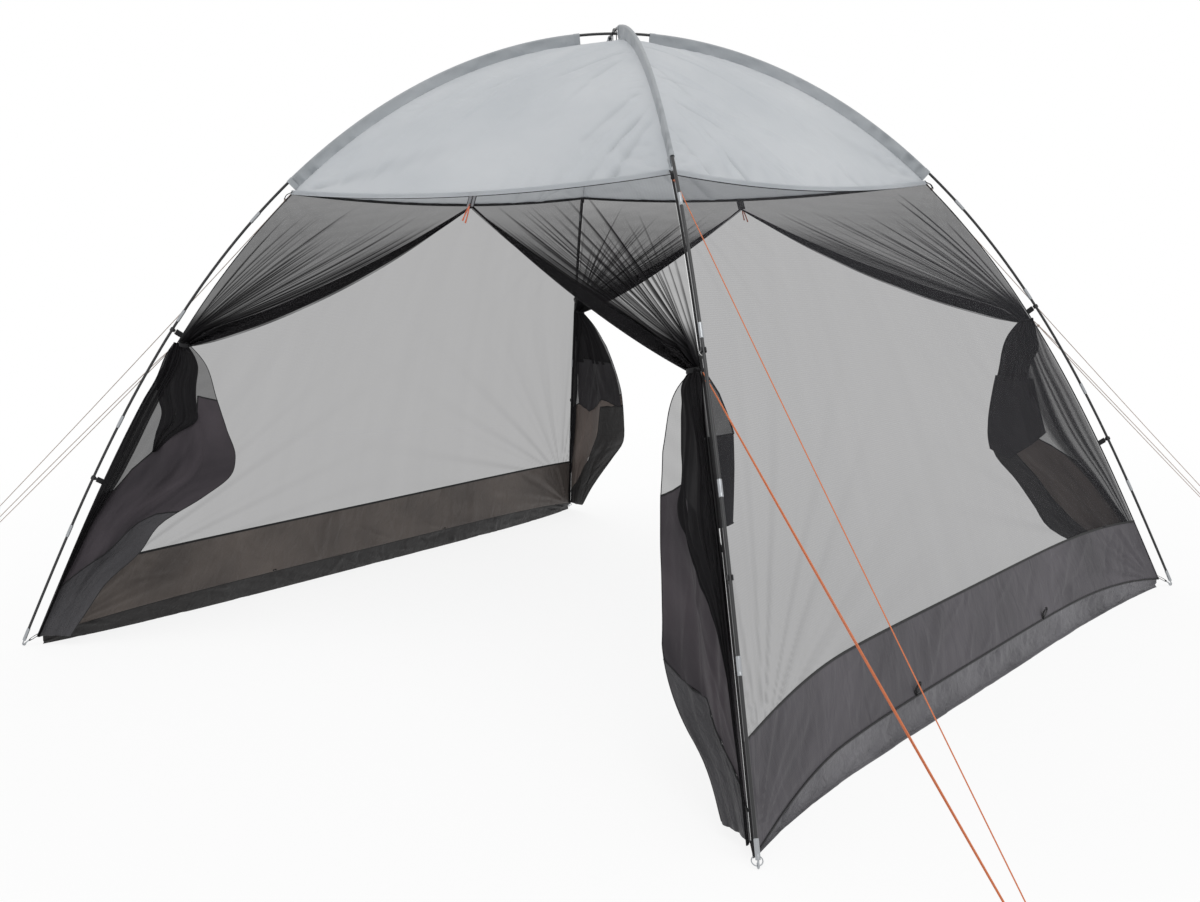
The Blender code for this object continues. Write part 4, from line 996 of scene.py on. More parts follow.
def footFall(sign):
    # The right wall's lower seam falls to the ground at its front corner
    return wall["frontFall"] if sign > 0 else 0.0


def ontoSide(points, sign):
    # The left wall is the right one turned half round
    return points if sign > 0 else points * np.array([-1, -1, 1])


def pushed(points, across, v, lift, look):
    # Folds push the cloth out, fading to its four edges
    keep = (1 - np.abs(across) ** look["edge"]) * smooth(0, look["rise"], v)
    keep = keep * (1 - smooth(v.max() - look["fade"], v.max(), v))
    return points + np.array(wall["pushWay"]) * (lift * keep)[..., None]


def makeNetWall(side, sign, seed):
    # Ruled from hem to band, pushed out by creases and by fans from its four corners
    look = wall["net"]
    across, share = paramGrid(look["columns"], look["rows"], (-1, 1))
    way = arch["canopyEdge"] + (bandTopAt(sign, across) - arch["canopyEdge"]) * share
    points = wallPoints(way, across, footFall(sign))
    u, v = points[..., 1], arch["canopyEdge"] - way
    lift, streaks = look["crease"] * creases(u, v, seed, *look["creases"]), np.zeros_like(u)
    for end in (-1, 1):
        low, high = (end * wall["cornerFan"], v.max() + 0.1), end * wall["hemFan"]
        lift += look["lowFan"] * fan(u, v, low, seed + 20 + end, look["lowWaves"], 0.40)
        lift += look["highFan"] * fan(u, v, (high, -0.02), seed + 40 + end, look["highWaves"], 0.25)
    for end in (-1, 1):
        low, high = (end * wall["cornerFan"], v.max() + 0.1), end * wall["hemFan"]
        streaks += np.maximum(fan(u, v, low, seed + 20 + end, look["lowStreaks"], 0.34), 0)
        streaks += 0.5 * np.maximum(fan(u, v, (high, -0.05), seed + 80 + end, look["highStreaks"], 0.20), 0)
    points = pushed(points, across, v, lift, look)
    net = sheetPiece(f"{side}_net_panel", [ontoSide(points, sign)], [netCloth],
                     layers=1 + look["streak"] * streaks)
    finish(net, "insect_net", f"{side}_wall_net")


def makeBand(side, sign, seed):
    # Ruled from its top to its foot, with short creases and fans from the lower corners
    look = wall["band"]
    across, share = paramGrid(look["columns"], look["rows"], (-1, 1))
    way = bandTopAt(sign, across) * (1 - share) + arch["wallFoot"] * share
    points = wallPoints(way, across, footFall(sign))
    u, v = points[..., 1], arch["bandTop"] - way
    lift = look["crease"] * creases(u, v, seed + 1, *look["creases"])
    for end in (-1, 1):
        place = (end * wall["footFan"], v.max())
        lift += look["fan"] * fan(u, v, place, seed + 60 + end, look["waves"], 0.34)
    points = pushed(points, across, v, lift, look)
    band = sheetPiece(f"{side}_band_panel", [ontoSide(points, sign)], [bandCloth, bandLining])
    thicken(band, wall["clothDepth"])
    finish(band, "band_fabric", f"{side}_wall_band")


def makeFlap(side, sign, seed):
    # From the band's lower seam out to the ground and along it, with crinkles that fade to its free edge
    look = wall["flap"]
    limit = 1 - look["endGap"] / arch["footHalf"]
    across, share = paramGrid(look["columns"], look["rows"], (-limit, limit))
    seam = wallPoints(np.full_like(across, arch["wallFoot"]), across, footFall(sign))
    power = np.where(across * footFall(sign) < 0, look["frontPower"], look["power"])
    spread = 1 - (1 - look["endShare"]) * np.abs(across / limit) ** power
    fall = np.clip(share / look["lipFrom"], 0, 1)
    lip = np.clip((share - look["lipFrom"]) / (1 - look["lipFrom"]), 0, 1)
    u, v = seam[..., 1], share * look["cloth"]
    rough = creases(u, v, seed + 5, *look["creases"]) * (1 - 0.8 * smooth(0.6, 0.95, share))
    waves = np.sin(u * 13 + 2 * np.sin(u * 5 + seed)) + 0.4 * np.sin(u * 37 + seed)
    lift = (look["crease"] * rough + look["wave"] * waves * share) * smooth(0, 0.18, share)
    points = seam.copy()
    points[..., 0] += look["reach"] * spread * fall**1.25 + look["lip"] * spread * lip + lift
    raised = look["bump"] * np.abs(lift) * smooth(0.3, 1, share)
    points[..., 2] = seam[..., 2] * (1 - fall) + look["offFloor"] + raised
    flap = sheetPiece(f"{side}_flap_strip", [ontoSide(points, sign)], [flapCloth, flapLining])
    thicken(flap, wall["clothDepth"])
    finish(flap, "flap_fabric", f"{side}_mud_flap")


def makeSeams(side, sign):
    # Tapes along the band's two edges, and two loops, each an ellipse that leans outwards
    across = np.linspace(-0.999, 0.999, 160)
    outward = np.array([sign, 0, 0.25])
    low = np.full_like(across, arch["wallFoot"])
    for (name, width), way in zip(wall["seams"].items(), (bandTopAt(sign, across), low)):
        line = wallPoints(way, across, footFall(sign))
        line[:, 0] += wall["seamOut"]
        webbing(f"{side}_{name}_binding", ontoSide(line, sign), skyward, width, wall["seamDepth"])
    for number, place in enumerate(wall["pegLoops"], 1):
        root = ontoSide(wallPoints(np.array(arch["wallFoot"] + 0.006), np.array(place)), sign)
        tip = root + np.array([sign * wall["loopOut"], 0, wall["loopHeight"]])
        turn = np.linspace(0, 2 * math.pi, 28)
        swell, rise = outward * wall["loopOpen"] * np.sin(turn)[:, None], (tip - root) / 2
        loop = (root + tip) / 2 + swell + rise * np.cos(turn)[:, None]
        loop = loop + np.array([0, wall["loopSide"], 0]) * np.sin(turn)[:, None]
        webbing(f"{side}_peg_loop_{number}", loop, np.array([0, 1, 0]), wall["loopWidth"], wall["loopDepth"])


def makeWalls():
    # The left wall is seeded apart from the right one, so its folds differ
    for side, sign, seed in (("right", 1, 3), ("left", -1, 8)):
        makeNetWall(side, sign, seed)
        makeBand(side, sign, seed)
        makeFlap(side, sign, seed)
        makeSeams(side, sign)
    print("closed walls sewn")


makeWalls()


# Bindings along the corner seams and under the canopy's hem
binding = {
    "cornerWidth": 0.0065, "cornerDepth": 0.0034, "cornerIn": 0.0012, "cornerPoints": 90,
    "hemWidth": 0.011, "hemDepth": 0.0022, "hemUp": 0.0035, "hemIn": 0.0045, "hemEnd": 0.997, "hemPoints": 70,
}


def makeBindings():
    # Tapes down the corner seams and under the four sides of the hem
    for corner in corners:
        ways = np.linspace(arch["wallFoot"], arch["canopyEdge"], binding["cornerPoints"])
        line = inSpace(meanArch, corner, ways, -cornerDrop(ways) - binding["cornerIn"])
        side, _, _ = poleAxes(meanArch, corner, ways)
        webbing(f"{corner}_seam_binding", line, side, binding["cornerWidth"], binding["cornerDepth"])
    for quarter, name in enumerate(("front", "right", "rear", "left")):
        across = np.linspace(-binding["hemEnd"], binding["hemEnd"], binding["hemPoints"])
        line = canopyPanel(across, np.ones_like(across)) + np.array([0, binding["hemIn"], binding["hemUp"]])
        webbing(f"{name}_hem_binding", turnedQuarter(line, quarter), skyward, binding["hemWidth"],
                binding["hemDepth"])
    print("bindings sewn")


makeBindings()


# Door curtains, tied back at their corners
door = {
    "zipStub": 0.036, "zipOffMiddle": {-1: 0.055, 1: 0.0}, "zipGap": 0.0032,
    "tieUpPole": 1.205, "tieDrop": 0.012, "neckInset": 0.012, "neckWidth": 0.030, "neckFold": 0.008,
    "neckFolds": 4, "edgeSag": 0.062, "reach": 0.460, "butt": 0.006, "hemGap": 0.0012, "hemClear": 0.004,
    "fold": 0.030, "foldOut": 0.6, "seamShare": 0.17, "lowest": 0.002,
    "turns": {"front_right": 25, "front_left": 30, "rear_right": 30, "rear_left": 15},
    "dropShares": (0.0, 0.06, 0.20, 0.30, 0.40, 0.46, 0.53, 0.62, 0.72, 0.82, 0.90, 1.0),
    "widthShares": {
        "front_right": (0.07, 0.30, 0.53, 0.605, 0.655, 0.68, 0.69, 0.715, 0.735, 0.62, 0.385, 0.26),
        "front_left": (0.07, 0.26, 0.545, 0.735, 0.92, 0.95, 0.82, 0.585, 0.515, 0.357, 0.305, 0.245),
        "rear_right": (0.07, 0.24, 0.48, 0.63, 0.76, 0.82, 0.85, 0.78, 0.73, 0.67, 0.43, 0.26),
        "rear_left": (0.07, 0.28, 0.59, 0.74, 0.84, 0.87, 0.89, 0.89, 0.72, 0.52, 0.37, 0.22)},
}
hangLow = arch["wallFoot"] + door["hemClear"]
upperCurtain = {
    "columns": 420, "rows": 100, "stubRows": 5, "hemHalf": 0.80,
    "rollFrom": 0.70, "rollTo": 0.96, "rollLayers": 7, "rollWidth": 0.052, "rollDepth": 0.018,
    "folds": 36, "foldDepth": 0.008, "foldLayers": 4.2, "foldHalf": (0.0016, 0.0042), "selvage": 0.007,
    "tapeWidth": 0.006, "tapeDepth": 0.0018, "tapeIn": 0.008, "tapePoints": 120,
}
# Seams and layers of each hanging curtain: shares of the drop at shares across, or two edges at a drop
hanging = {
    "front_right": {
        "bunchLayers": 0.9, "netLayers": 1.0,
        "bandTop": ((0, 0.42), (0.70, 0.30), (0.84, 0.32), (1.03, 0.34)),
        "bandFoot": ((0, 0.94), (0.30, 0.86), (0.57, 0.77), (0.85, 0.75), (1.03, 0.72)),
        "core": ((0, -0.3, 1.0), (0.05, -0.1, 0.84), (0.11, -0.04, 0.62), (0.19, -0.03, 0.58),
                 (0.28, -0.03, 0.66), (0.36, -0.03, 0.76), (0.40, -0.03, 0.72), (0.45, -0.01, 0.52),
                 (0.52, 0.02, 0.36), (0.60, 0.05, 0.20), (0.68, 0.05, 0.11), (0.80, 0.04, 0.06),
                 (1, 0.01, 0.02)),
        "bunch": ((0, -0.2, 0.8), (0.10, 0, 0.40), (0.40, 0, 0.28), (0.6, 0, 0.12), (0.75, 0, 0.05),
                  (1, 0, 0.015)),
    },
    "front_left": {
        "bunchLayers": 1.5, "netLayers": 1.0,
        "bandTop": ((0, 0.53), (0.11, 0.51), (0.17, 0.44), (0.32, 0.365), (0.50, 0.315), (0.70, 0.27),
                    (0.74, 0.19), (1.03, 0.205)),
        "bandFoot": ((0, 0.84), (0.24, 0.79), (0.48, 0.73), (0.69, 0.62), (0.80, 0.59), (1.03, 0.58)),
        "core": ((0, -0.2, 1.0), (0.08, 0, 0.86), (0.14, 0.04, 0.76), (0.20, 0.20, 0.73), (0.24, 0.29, 0.73),
                 (0.28, 0.30, 0.70), (0.32, 0.29, 0.50), (0.38, 0.30, 0.33)),
        "bunch": ((0, -0.2, 0.6), (0.10, 0, 0.36), (0.20, 0, 0.23), (0.30, 0, 0.175), (0.40, 0, 0.14),
                  (0.54, 0, 0.12), (0.75, 0, 0.11), (1, 0, 0.10)),
    },
    "rear_right": {
        "bunchLayers": 0.2, "netLayers": 1.0,
        "bandTop": ((0, 0.86), (0.05, 0.80), (0.17, 0.66), (0.29, 0.55), (0.46, 0.49), (0.58, 0.46),
                    (1.03, 0.45)),
        "bandFoot": ((0, 0.97), (0.30, 0.93), (0.50, 0.86), (0.68, 0.78), (0.78, 0.70), (0.805, 0.56),
                     (0.83, 0.52), (1.03, 0.50)),
        "core": ((0, -0.2, 1.03), (0.05, 0.05, 1.03), (0.12, 0.22, 1.02), (0.16, 0.40, 1.02),
                 (0.21, 0.52, 1.02), (0.24, 0.53, 1.02)),
        "bunch": ((0, -0.2, 0.75), (0.12, 0, 0.66), (0.28, 0, 0.56), (0.43, 0, 0.46), (0.60, 0, 0.28),
                  (0.80, 0, 0.12), (1, 0, 0.04)),
        "panel": {"span": (0.46, 1.05), "top": ((0.46, 0.235), (1.05, 0.22)),
                  "foot": ((0.46, 0.44), (0.91, 0.54), (1.05, 0.50))},
    },
    "rear_left": {
        "bunchLayers": 1.5, "netLayers": 2.4,
        "bandTop": ((0, 0.50), (0.3, 0.44), (0.65, 0.40), (1.03, 0.40)),
        "bandFoot": ((0, 0.94), (0.30, 0.88), (0.55, 0.76), (0.60, 0.60), (0.65, 0.47), (1.03, 0.45)),
        "core": ((0, -0.2, 1.03), (0.06, 0, 1.03), (0.12, 0.1, 1.03), (0.26, 0.14, 1.03)),
        "bunch": ((0, -0.2, 0.6), (0.12, 0, 0.30), (0.40, 0, 0.16), (0.7, 0, 0.10), (1, 0, 0.06)),
        "panel": {"span": (0.16, 1.02), "top": ((0.16, 0.24), (1.02, 0.25)),
                  "foot": ((0.16, 0.47), (0.40, 0.50), (0.70, 0.43), (1.02, 0.46))},
    },
}
hungCloth = {
    "columns": 200, "netRows": 60, "bandRows": 90, "flapRows": 60, "stripColumns": 120, "stripRows": 150,
    "span": (0, 1.03), "pleatDepth": 0.005, "layerGap": 0.005, "creaseDepth": 0.004,
    "creases": (34, 0.035, 0.5, 0.15, 0.5), "thickness": 0.0008, "piping": 0.0023, "edgePiping": 0.0013,
    "corePleats": 9, "coreLayers": 2.4, "bunchPleats": 8,
}


def cornerLine(corner, way):
    # The door's edge, a little inside the corner seam at a way up the pole
    side, end = corners[corner]
    half, height = seamAt(way, cornerDrop(way))
    return np.stack([side * half - side * door["butt"], end * half, height], axis=-1)


def doorFall(end):
    # Unit way down the door's middle
    half, height = seamAt(arch["canopyEdge"], arch["ridgeDrop"])
    footHalf, footHeight = seamAt(arch["wallFoot"], arch["wallDrop"])
    size = math.hypot(footHalf - half, footHeight - height)
    return np.array([0, end * (footHalf - half) / size, (footHeight - height) / size])


def upperPoint(corner, share, across, inward):
    # Rows ruled from the line under the hem to the neck at the tie, sagging toward the free edge
    side, end = corners[corner]
    hemHalf, hemHeight = seamAt(arch["canopyEdge"], arch["ridgeDrop"])
    across = np.clip(across, 0, 1.08)
    cornerX = side * (hemHalf - door["butt"])
    zipX = door["zipOffMiddle"][end] + side * door["zipGap"] / 2
    fall = doorFall(end)

    def stubAt(place):
        x = cornerX + (zipX - cornerX) * place
        z = hemHeight - door["hemGap"] - hemDrop(x / hemHalf)
        level = np.stack([x, np.full_like(x, end * hemHalf), z], axis=-1)
        return level + fall * (door["zipStub"] * place**3)[..., None]

    fold = np.sin(2 * math.pi * door["neckFolds"] * across)
    neckX = -side * (door["neckInset"] * np.sqrt(across) + door["neckWidth"] * across)
    neck = np.stack([neckX, -end * door["neckFold"] * (fold + across), -door["tieDrop"] * across], axis=-1)
    start = stubAt(np.zeros_like(across))
    way = arch["canopyEdge"] + (door["tieUpPole"] - arch["canopyEdge"]) * share
    drop = share[..., None]
    points = (stubAt(across) - start) * (1 - drop) + neck * drop + cornerLine(corner, way)
    sag = 4 * share * (1 - share) * across**2
    points[..., 2] -= door["edgeSag"] * sag
    crimp = door["neckFold"] * fold * share * (1 - share)
    points[..., 1] -= end * (door["edgeSag"] / 2 * sag + crimp + inward)
    return points


def upperGrid(corner, seed):
    # Folds follow lines of equal share across from the hem to the tie; the last part zigzags into the roll
    look = upperCurtain
    chance = np.random.default_rng(seed)
    column, share = paramGrid(look["columns"], look["rows"])
    cut, rollTo = look["rollFrom"], look["rollTo"]
    wide = look["hemHalf"] * (1 - share) + (door["neckInset"] + door["neckWidth"]) * share
    body, roll = np.minimum(column / cut, 1), np.clip((column - cut) / (rollTo - cut), 0, 1)
    rollProfile = np.sin(math.pi * np.clip(share, 0.004, 0.72) / 1.44) ** 0.8
    rollShare = np.minimum(look["rollWidth"] * rollProfile / wide, 0.45)
    zig = (1 - np.cos(math.pi * look["rollLayers"] * roll)) / 2
    selvage = look["selvage"] / wide * np.clip((column - rollTo) / (1 - rollTo), 0, 1)
    across = np.where(roll > 0, 1 - rollShare + rollShare * zig, body * (1 - rollShare)) + selvage
    inward = np.zeros_like(across)
    layers = 0.72 + 0.28 * smooth(0.0, 0.3, share) + 4 * smooth(0.76, 1.0, share)
    layers = layers + smooth(0.82, 1.0, body) * smooth(0.05, 0.4, share)
    for number in range(look["folds"]):
        middle = ((number + chance.uniform(0.1, 0.9)) / look["folds"]) ** 0.6
        width = chance.uniform(*look["foldHalf"]) / wide
        start = chance.uniform(0.0, 0.5) * (1 - 0.8 * middle**4)
        grown = smooth(start, start + chance.uniform(0.2, 0.5), share) * chance.uniform(0.25, 1.0)
        bell = grown * np.exp(-(((body - middle) / width) ** 2)) * (roll == 0)
        inward = inward + look["foldDepth"] * bell
        layers = layers + look["foldLayers"] * bell
    depth = look["rollDepth"] * smooth(0.0, 0.35, share)
    inward = np.where(roll > 0, inward + depth * roll + 0.3 * depth * np.sin(math.pi * zig), inward)
    layers = np.where(roll > 0, 1.3 + 0.5 * np.sin(40 * zig + 25 * share), layers)
    points = upperPoint(corner, share, across, inward)
    steps = np.linspace(1, 0, look["stubRows"])[:-1]
    stub = doorFall(corners[corner][1]) * (door["zipStub"] * np.clip(across[0], 0, 1) ** 3)[:, None]
    lifted = np.stack([points[0] - stub * step for step in steps])
    return np.concatenate([lifted, points]), np.concatenate([layers[:1]] * len(steps) + [layers])


def hungPoint(corner, share, across, depth, toward=0.0):
    # From the corner seam along the door's turned line, folded square to it, and moved toward the front
    side, end = corners[corner]
    way = door["tieUpPole"] + (hangLow - door["tieUpPole"]) * share
    spread = smoothTable(share, door["dropShares"], door["widthShares"][corner])
    angle = math.radians(door["turns"][corner])
    turn = np.array([-side * math.cos(angle), -end * math.sin(angle), 0])
    square = np.array([side * math.sin(angle), -end * math.cos(angle), 0])
    points = cornerLine(corner, way) + turn * (door["reach"] * spread * across)[..., None]
    points = points + square * depth[..., None]
    points[..., 1] -= toward
    points[..., 2] = np.maximum(points[..., 2], door["lowest"])
    return points


def softDepth(corner, share, across, seed):
    # Broad folds of one and of three waves across, flat at the seam, with fine creases
    spread = smoothTable(share, door["dropShares"], door["widthShares"][corner])
    flatSeam = np.sin(math.pi / 2 * np.clip(across / door["seamShare"], 0, 1))
    waves = door["foldOut"] + 0.42 * np.sin(8.2 * across + 0.9 + 2.2 * share)
    waves = waves + 0.16 * np.sin(19.5 * across + 4 * share)
    lift = hungCloth["creaseDepth"] * creases(across, share * 2, seed, *hungCloth["creases"])
    return spread * flatSeam * (door["fold"] * waves + lift)


def hungPatch(corner, top, foot, rows, seed, span=hungCloth["span"], toward=0.0):
    # Cloth between two seams, each given as the share of the drop at a share across
    across, step = paramGrid(hungCloth["columns"], rows, span)
    first, last = np.interp(across, *zip(*top)), np.interp(across, *zip(*foot))
    share = first + (last - first) * step
    return hungPoint(corner, share, across, softDepth(corner, share, across, seed), toward)


def hungStrip(corner, edges, seed, toward, pleats, thin):
    # Uneven pleats: bells of random place and width across the strip, each a fold that adds layers
    chance = np.random.default_rng(seed)
    drops, lows, highs = zip(*edges)
    column, share = paramGrid(hungCloth["stripColumns"], hungCloth["stripRows"], (0, 1),
                              (drops[0], drops[-1]))
    across = smoothTable(share, drops, lows) * (1 - column) + smoothTable(share, drops, highs) * column
    depth = softDepth(corner, share, across, seed) * smooth(0.0, 0.12, share)
    layers = thin * (1 + 0.8 * smooth(0.0, 0.5, 1 - share))
    for number in range(pleats):
        middle = (number + chance.uniform(0.2, 0.8)) / pleats
        middle = middle + 0.05 * np.sin(4 * share + chance.uniform(0, 6))
        bell = np.exp(-(((column - middle) / chance.uniform(0.2, 0.5) * pleats) ** 2))
        depth = depth + corners[corner][1] * hungCloth["pleatDepth"] * chance.uniform(0.4, 1.2) * bell
        layers = layers + chance.uniform(1.0, 4.0) * bell
    return hungPoint(corner, share, across, depth, toward), layers


def sewCloth(name, grid, materials, slotName, corner, layers=None, lined=False):
    # A cloth of a curtain, faced the same way at all four corners
    side, end = corners[corner]
    piece = sheetPiece(name, [grid], materials, turnOver=side * end < 0, layers=layers)
    if lined:
        thicken(piece, hungCloth["thickness"])
    finish(piece, slotName, f"{corner}_door_curtain")


def sewPiping(name, path, radius=hungCloth["piping"]):
    finish(rope(name, path, skyward, radius, [bindingTape], sides=6), "band_fabric")


def hangCurtain(corner, number):
    # Net, band and flap below the tie, the gathered net in front of them, and the panel folded over it
    shape, seed, gap = hanging[corner], 70 + number, hungCloth["layerGap"]
    tie, ground = ((0, 0), (1, 0)), ((0, 1), (1, 1))
    net = hungPatch(corner, tie, shape["bandTop"], hungCloth["netRows"], seed)
    sewCloth(f"{corner}_hanging_net", net, [netPleats], "insect_net", corner,
             layers=np.full(net.shape[:2], shape["netLayers"]))
    band = hungPatch(corner, shape["bandTop"], shape["bandFoot"], hungCloth["bandRows"], seed)
    sewCloth(f"{corner}_hanging_band", band, [curtainCloth, curtainLining], "band_fabric", corner, lined=True)
    flap = hungPatch(corner, shape["bandFoot"], ground, hungCloth["flapRows"], seed)
    sewCloth(f"{corner}_hanging_flap", flap, [curtainFlap, flapLining], "flap_fabric", corner, lined=True)
    for part, pleats, thin, toward in (("core", hungCloth["corePleats"], hungCloth["coreLayers"], gap),
                                       ("bunch", hungCloth["bunchPleats"], shape["bunchLayers"], 2 * gap)):
        strip, layers = hungStrip(corner, shape[part], 90 + number, toward, pleats, thin)
        sewCloth(f"{corner}_gathered_{part}", strip, [netPleats], "insect_net", corner, layers=layers)
    sewPiping(f"{corner}_band_top_piping", band[0])
    sewPiping(f"{corner}_band_foot_piping", flap[0])
    edge = np.concatenate([net[:-1:2, -1], band[::3, -1], flap[1::3, -1]])
    sewPiping(f"{corner}_hanging_edge_piping", edge, hungCloth["edgePiping"])
    if "panel" in shape:
        panel = shape["panel"]
        fold = hungPatch(corner, panel["top"], panel["foot"], hungCloth["netRows"], seed + 9, panel["span"],
                         1.5 * gap)
        sewCloth(f"{corner}_folded_panel", fold, [foldedCloth, foldedCloth], "band_fabric", corner,
                 lined=True)
        sewPiping(f"{corner}_folded_panel_top", fold[0])
        sewPiping(f"{corner}_folded_panel_foot", fold[-1])


def makeCurtains():
    # Each curtain above and below its tie, and the tape along its free edge
    for number, corner in enumerate(corners):
        grid, layers = upperGrid(corner, 50 + number)
        sewCloth(f"{corner}_curtain_net", grid, [netPleats], "insect_net", corner, layers)
        hangCurtain(corner, number)
        share = np.linspace(0.0, 1.0, upperCurtain["tapePoints"])
        inward = np.full_like(share, upperCurtain["tapeIn"])
        edge = upperPoint(corner, share, np.full_like(share, 1.0), inward)
        webbing(f"{corner}_zip_tape", edge, np.array([0.3 * corners[corner][0], 0, 1.0]),
                upperCurtain["tapeWidth"], upperCurtain["tapeDepth"])
    makeInsideLobe()
    print("curtains hung")


insideLobe = {
    "corner": "front_right", "drops": (0.0, 0.07, 0.14, 0.17, 0.25, 0.37),
    "reaches": (0.020, 0.075, 0.105, 0.114, 0.100, 0.074), "bandFrom": 0.17, "bandTo": 0.37, "columns": 30,
    "rows": 30, "layers": 2.0, "offSeam": 0.010, "wave": 0.006, "offDoor": 0.004,
}


def makeInsideLobe():
    # The front right curtain also bulges a hand's width into the tent, square to its door
    corner, cut = insideLobe["corner"], insideLobe["bandFrom"]
    side, end = corners[corner]
    for part, drop, material, slotName in (
            ("net", (0.0, cut), netPleats, "insect_net"),
            ("band", (cut, insideLobe["bandTo"]), foldedCloth, "band_fabric")):
        column, share = paramGrid(insideLobe["columns"], insideLobe["rows"], (0, 1), drop)
        reach = np.interp(share, insideLobe["drops"], insideLobe["reaches"])
        grid = cornerLine(corner, door["tieUpPole"] + (hangLow - door["tieUpPole"]) * share)
        grid[..., 0] -= side * (insideLobe["offSeam"] + insideLobe["wave"] * np.sin(3 * column + 9 * share))
        grid[..., 1] -= end * (insideLobe["offDoor"] + reach * column)
        layers = np.full(share.shape, insideLobe["layers"])
        sewCloth(f"{corner}_inside_{part}", grid, [material], slotName, corner, layers=layers)
        sewPiping(f"{corner}_inside_{part}_piping", grid[-1])
        if part == "net":
            sewPiping(f"{corner}_inside_edge_piping", grid[:, -1])


makeCurtains()


# Straps that tie the curtains back
tieStrap = {
    "width": 0.013, "depth": 0.0022, "across": 0.020, "through": 0.015, "inward": 0.025, "forward": 0.006,
    "drop": 0.006, "tilt": 0.004, "points": 48, "tailFrom": (0.018, 0.012, -0.002),
    "tailTurn": (0.006, 0.006, 0.004), "tailEnd": (0.014, 0.008, 0.006), "tailWidth": 0.011,
    "tailDepth": 0.0018,
}


def makeTies():
    # An ellipse round the gathered cloth, tilted by a cosine, and one loose tail
    for corner in corners:
        side, end = corners[corner]
        turned = np.array([side, end, 1])
        middle = cornerLine(corner, door["tieUpPole"])
        middle = middle - turned * (tieStrap["inward"], tieStrap["forward"], tieStrap["drop"])
        turn = fullTurn(tieStrap["points"])
        loop = middle + sideways * (tieStrap["across"] * np.cos(turn))[:, None]
        loop += np.array([0, 1, 0]) * (tieStrap["through"] * np.sin(turn))[:, None]
        loop[:, 2] += tieStrap["tilt"] * np.cos(turn) * side
        outward = np.stack([np.cos(turn) / tieStrap["across"], np.sin(turn) / tieStrap["through"],
                            np.zeros(len(turn))], axis=-1)
        outward /= np.linalg.norm(outward, axis=1)[:, None]
        px, py = roundedBar(tieStrap["depth"], tieStrap["width"], 10)
        finish(sweep(f"{corner}_tie_strap", loop, outward, np.broadcast_to(skyward, loop.shape), px, py,
                     [bindingTape], closed=True), "band_fabric")
        root = middle + turned * tieStrap["tailFrom"]
        knots = [root, root + turned * tieStrap["tailTurn"], root + turned * tieStrap["tailEnd"]]
        webbing(f"{corner}_tie_tail", curveThrough(knots, 12), skyward, tieStrap["tailWidth"],
                tieStrap["tailDepth"])
    print("curtains tied")


makeTies()


# Hook clips and their webbing
clip = {
    "ways": {"upper": 1.236, "lower": 0.640}, "clearance": 0.0005, "wall": 0.0032, "width": 0.013,
    "mouth": math.radians(80), "lip": 1.35, "lipHalf": 0.16, "hookPoints": 40, "stem": 0.8, "bar": 0.013,
    "armWidth": 0.00484, "armShare": 0.8, "webWidth": 0.020, "webDepth": 0.0024, "webIn": 0.002,
    "ring": 0.0075, "ringWire": 0.0011, "ringPoints": 32,
}


def makeClips():
    # An open hook round the pole: an arc whose two lips swell by a bell curve
    for corner in corners:
        line = poleArches[corner]
        for level, way in clip["ways"].items():
            side, out, up = (axis[0] for axis in poleAxes(line, corner, np.array([way])))
            middle = inSpace(line, corner, way)
            radius = arch["rod"] / 2 + clip["clearance"] + clip["wall"] / 2
            turn = np.linspace(clip["mouth"] / 2, 2 * math.pi - clip["mouth"] / 2, clip["hookPoints"])
            away = side * np.sin(turn)[:, None] + out * np.cos(turn)[:, None]
            px, py = roundedBar(clip["wall"], clip["width"], 12, 0.35)
            fromEnd = (np.abs(turn - math.pi) - np.abs(turn[0] - math.pi)) / clip["lipHalf"]
            lips = 1 + (clip["lip"] - 1) * np.exp(-(fromEnd**2))
            finish(sweep(f"{corner}_{level}_hook", middle + away * radius, away,
                         np.broadcast_to(up, away.shape), px * lips[:, None],
                         np.broadcast_to(py, (len(turn), len(py))), [clipFinish], sharp=35),
                   "clip_plastic", f"{corner}_{level}_clip")
            reach = (middle - inSpace(meanArch, corner, way, -cornerDrop(way))) @ out
            start, bar = arch["rod"] / 2 + clip["wall"] * clip["stem"], clip["bar"]
            stem = [middle - out * step for step in (start, start + 0.003, bar - 0.001, bar + 0.002)]
            finish(tape(f"{corner}_{level}_hook_arm", np.array(stem), side, clip["armWidth"],
                        clip["width"] * clip["armShare"], [clipFinish]), "clip_plastic")
            web = np.array([middle - out * step for step in np.linspace(bar, reach + clip["webIn"], 8)])
            webbing(f"{corner}_{level}_clip_web", web, up, clip["webWidth"], clip["webDepth"])
            if level == "upper":
                turn = fullTurn(clip["ringPoints"])
                away = up * np.cos(turn)[:, None] + side * np.sin(turn)[:, None]
                px, py = circle(8)
                finish(sweep(f"{corner}_clip_ring", middle - out * bar + away * clip["ring"], away,
                             np.broadcast_to(out, away.shape), px * clip["ringWire"], py * clip["ringWire"],
                             [ringFinish], closed=True), "clip_plastic")
    print("clips hooked")


makeClips()


# Webbing tabs at the canopy's corners, where the upper guys start
tab = {"steps": (0.012, 0.0, -0.014, -0.030), "out": (0.002, 0.006, 0.010, 0.006), "points": 16}


def makeTabs():
    # A tape that bows off the corner seam and comes back to it
    for corner in corners:
        ways = arch["canopyEdge"] + np.array(tab["steps"])
        side, _, _ = poleAxes(meanArch, corner, ways)
        line = inSpace(meanArch, corner, ways, np.array(tab["out"]) - cornerDrop(ways))
        webbing(f"{corner}_guy_tab", curveThrough(line, tab["points"]), side[0], guyLines["tabWidth"],
                guyLines["tabDepth"])


makeTabs()


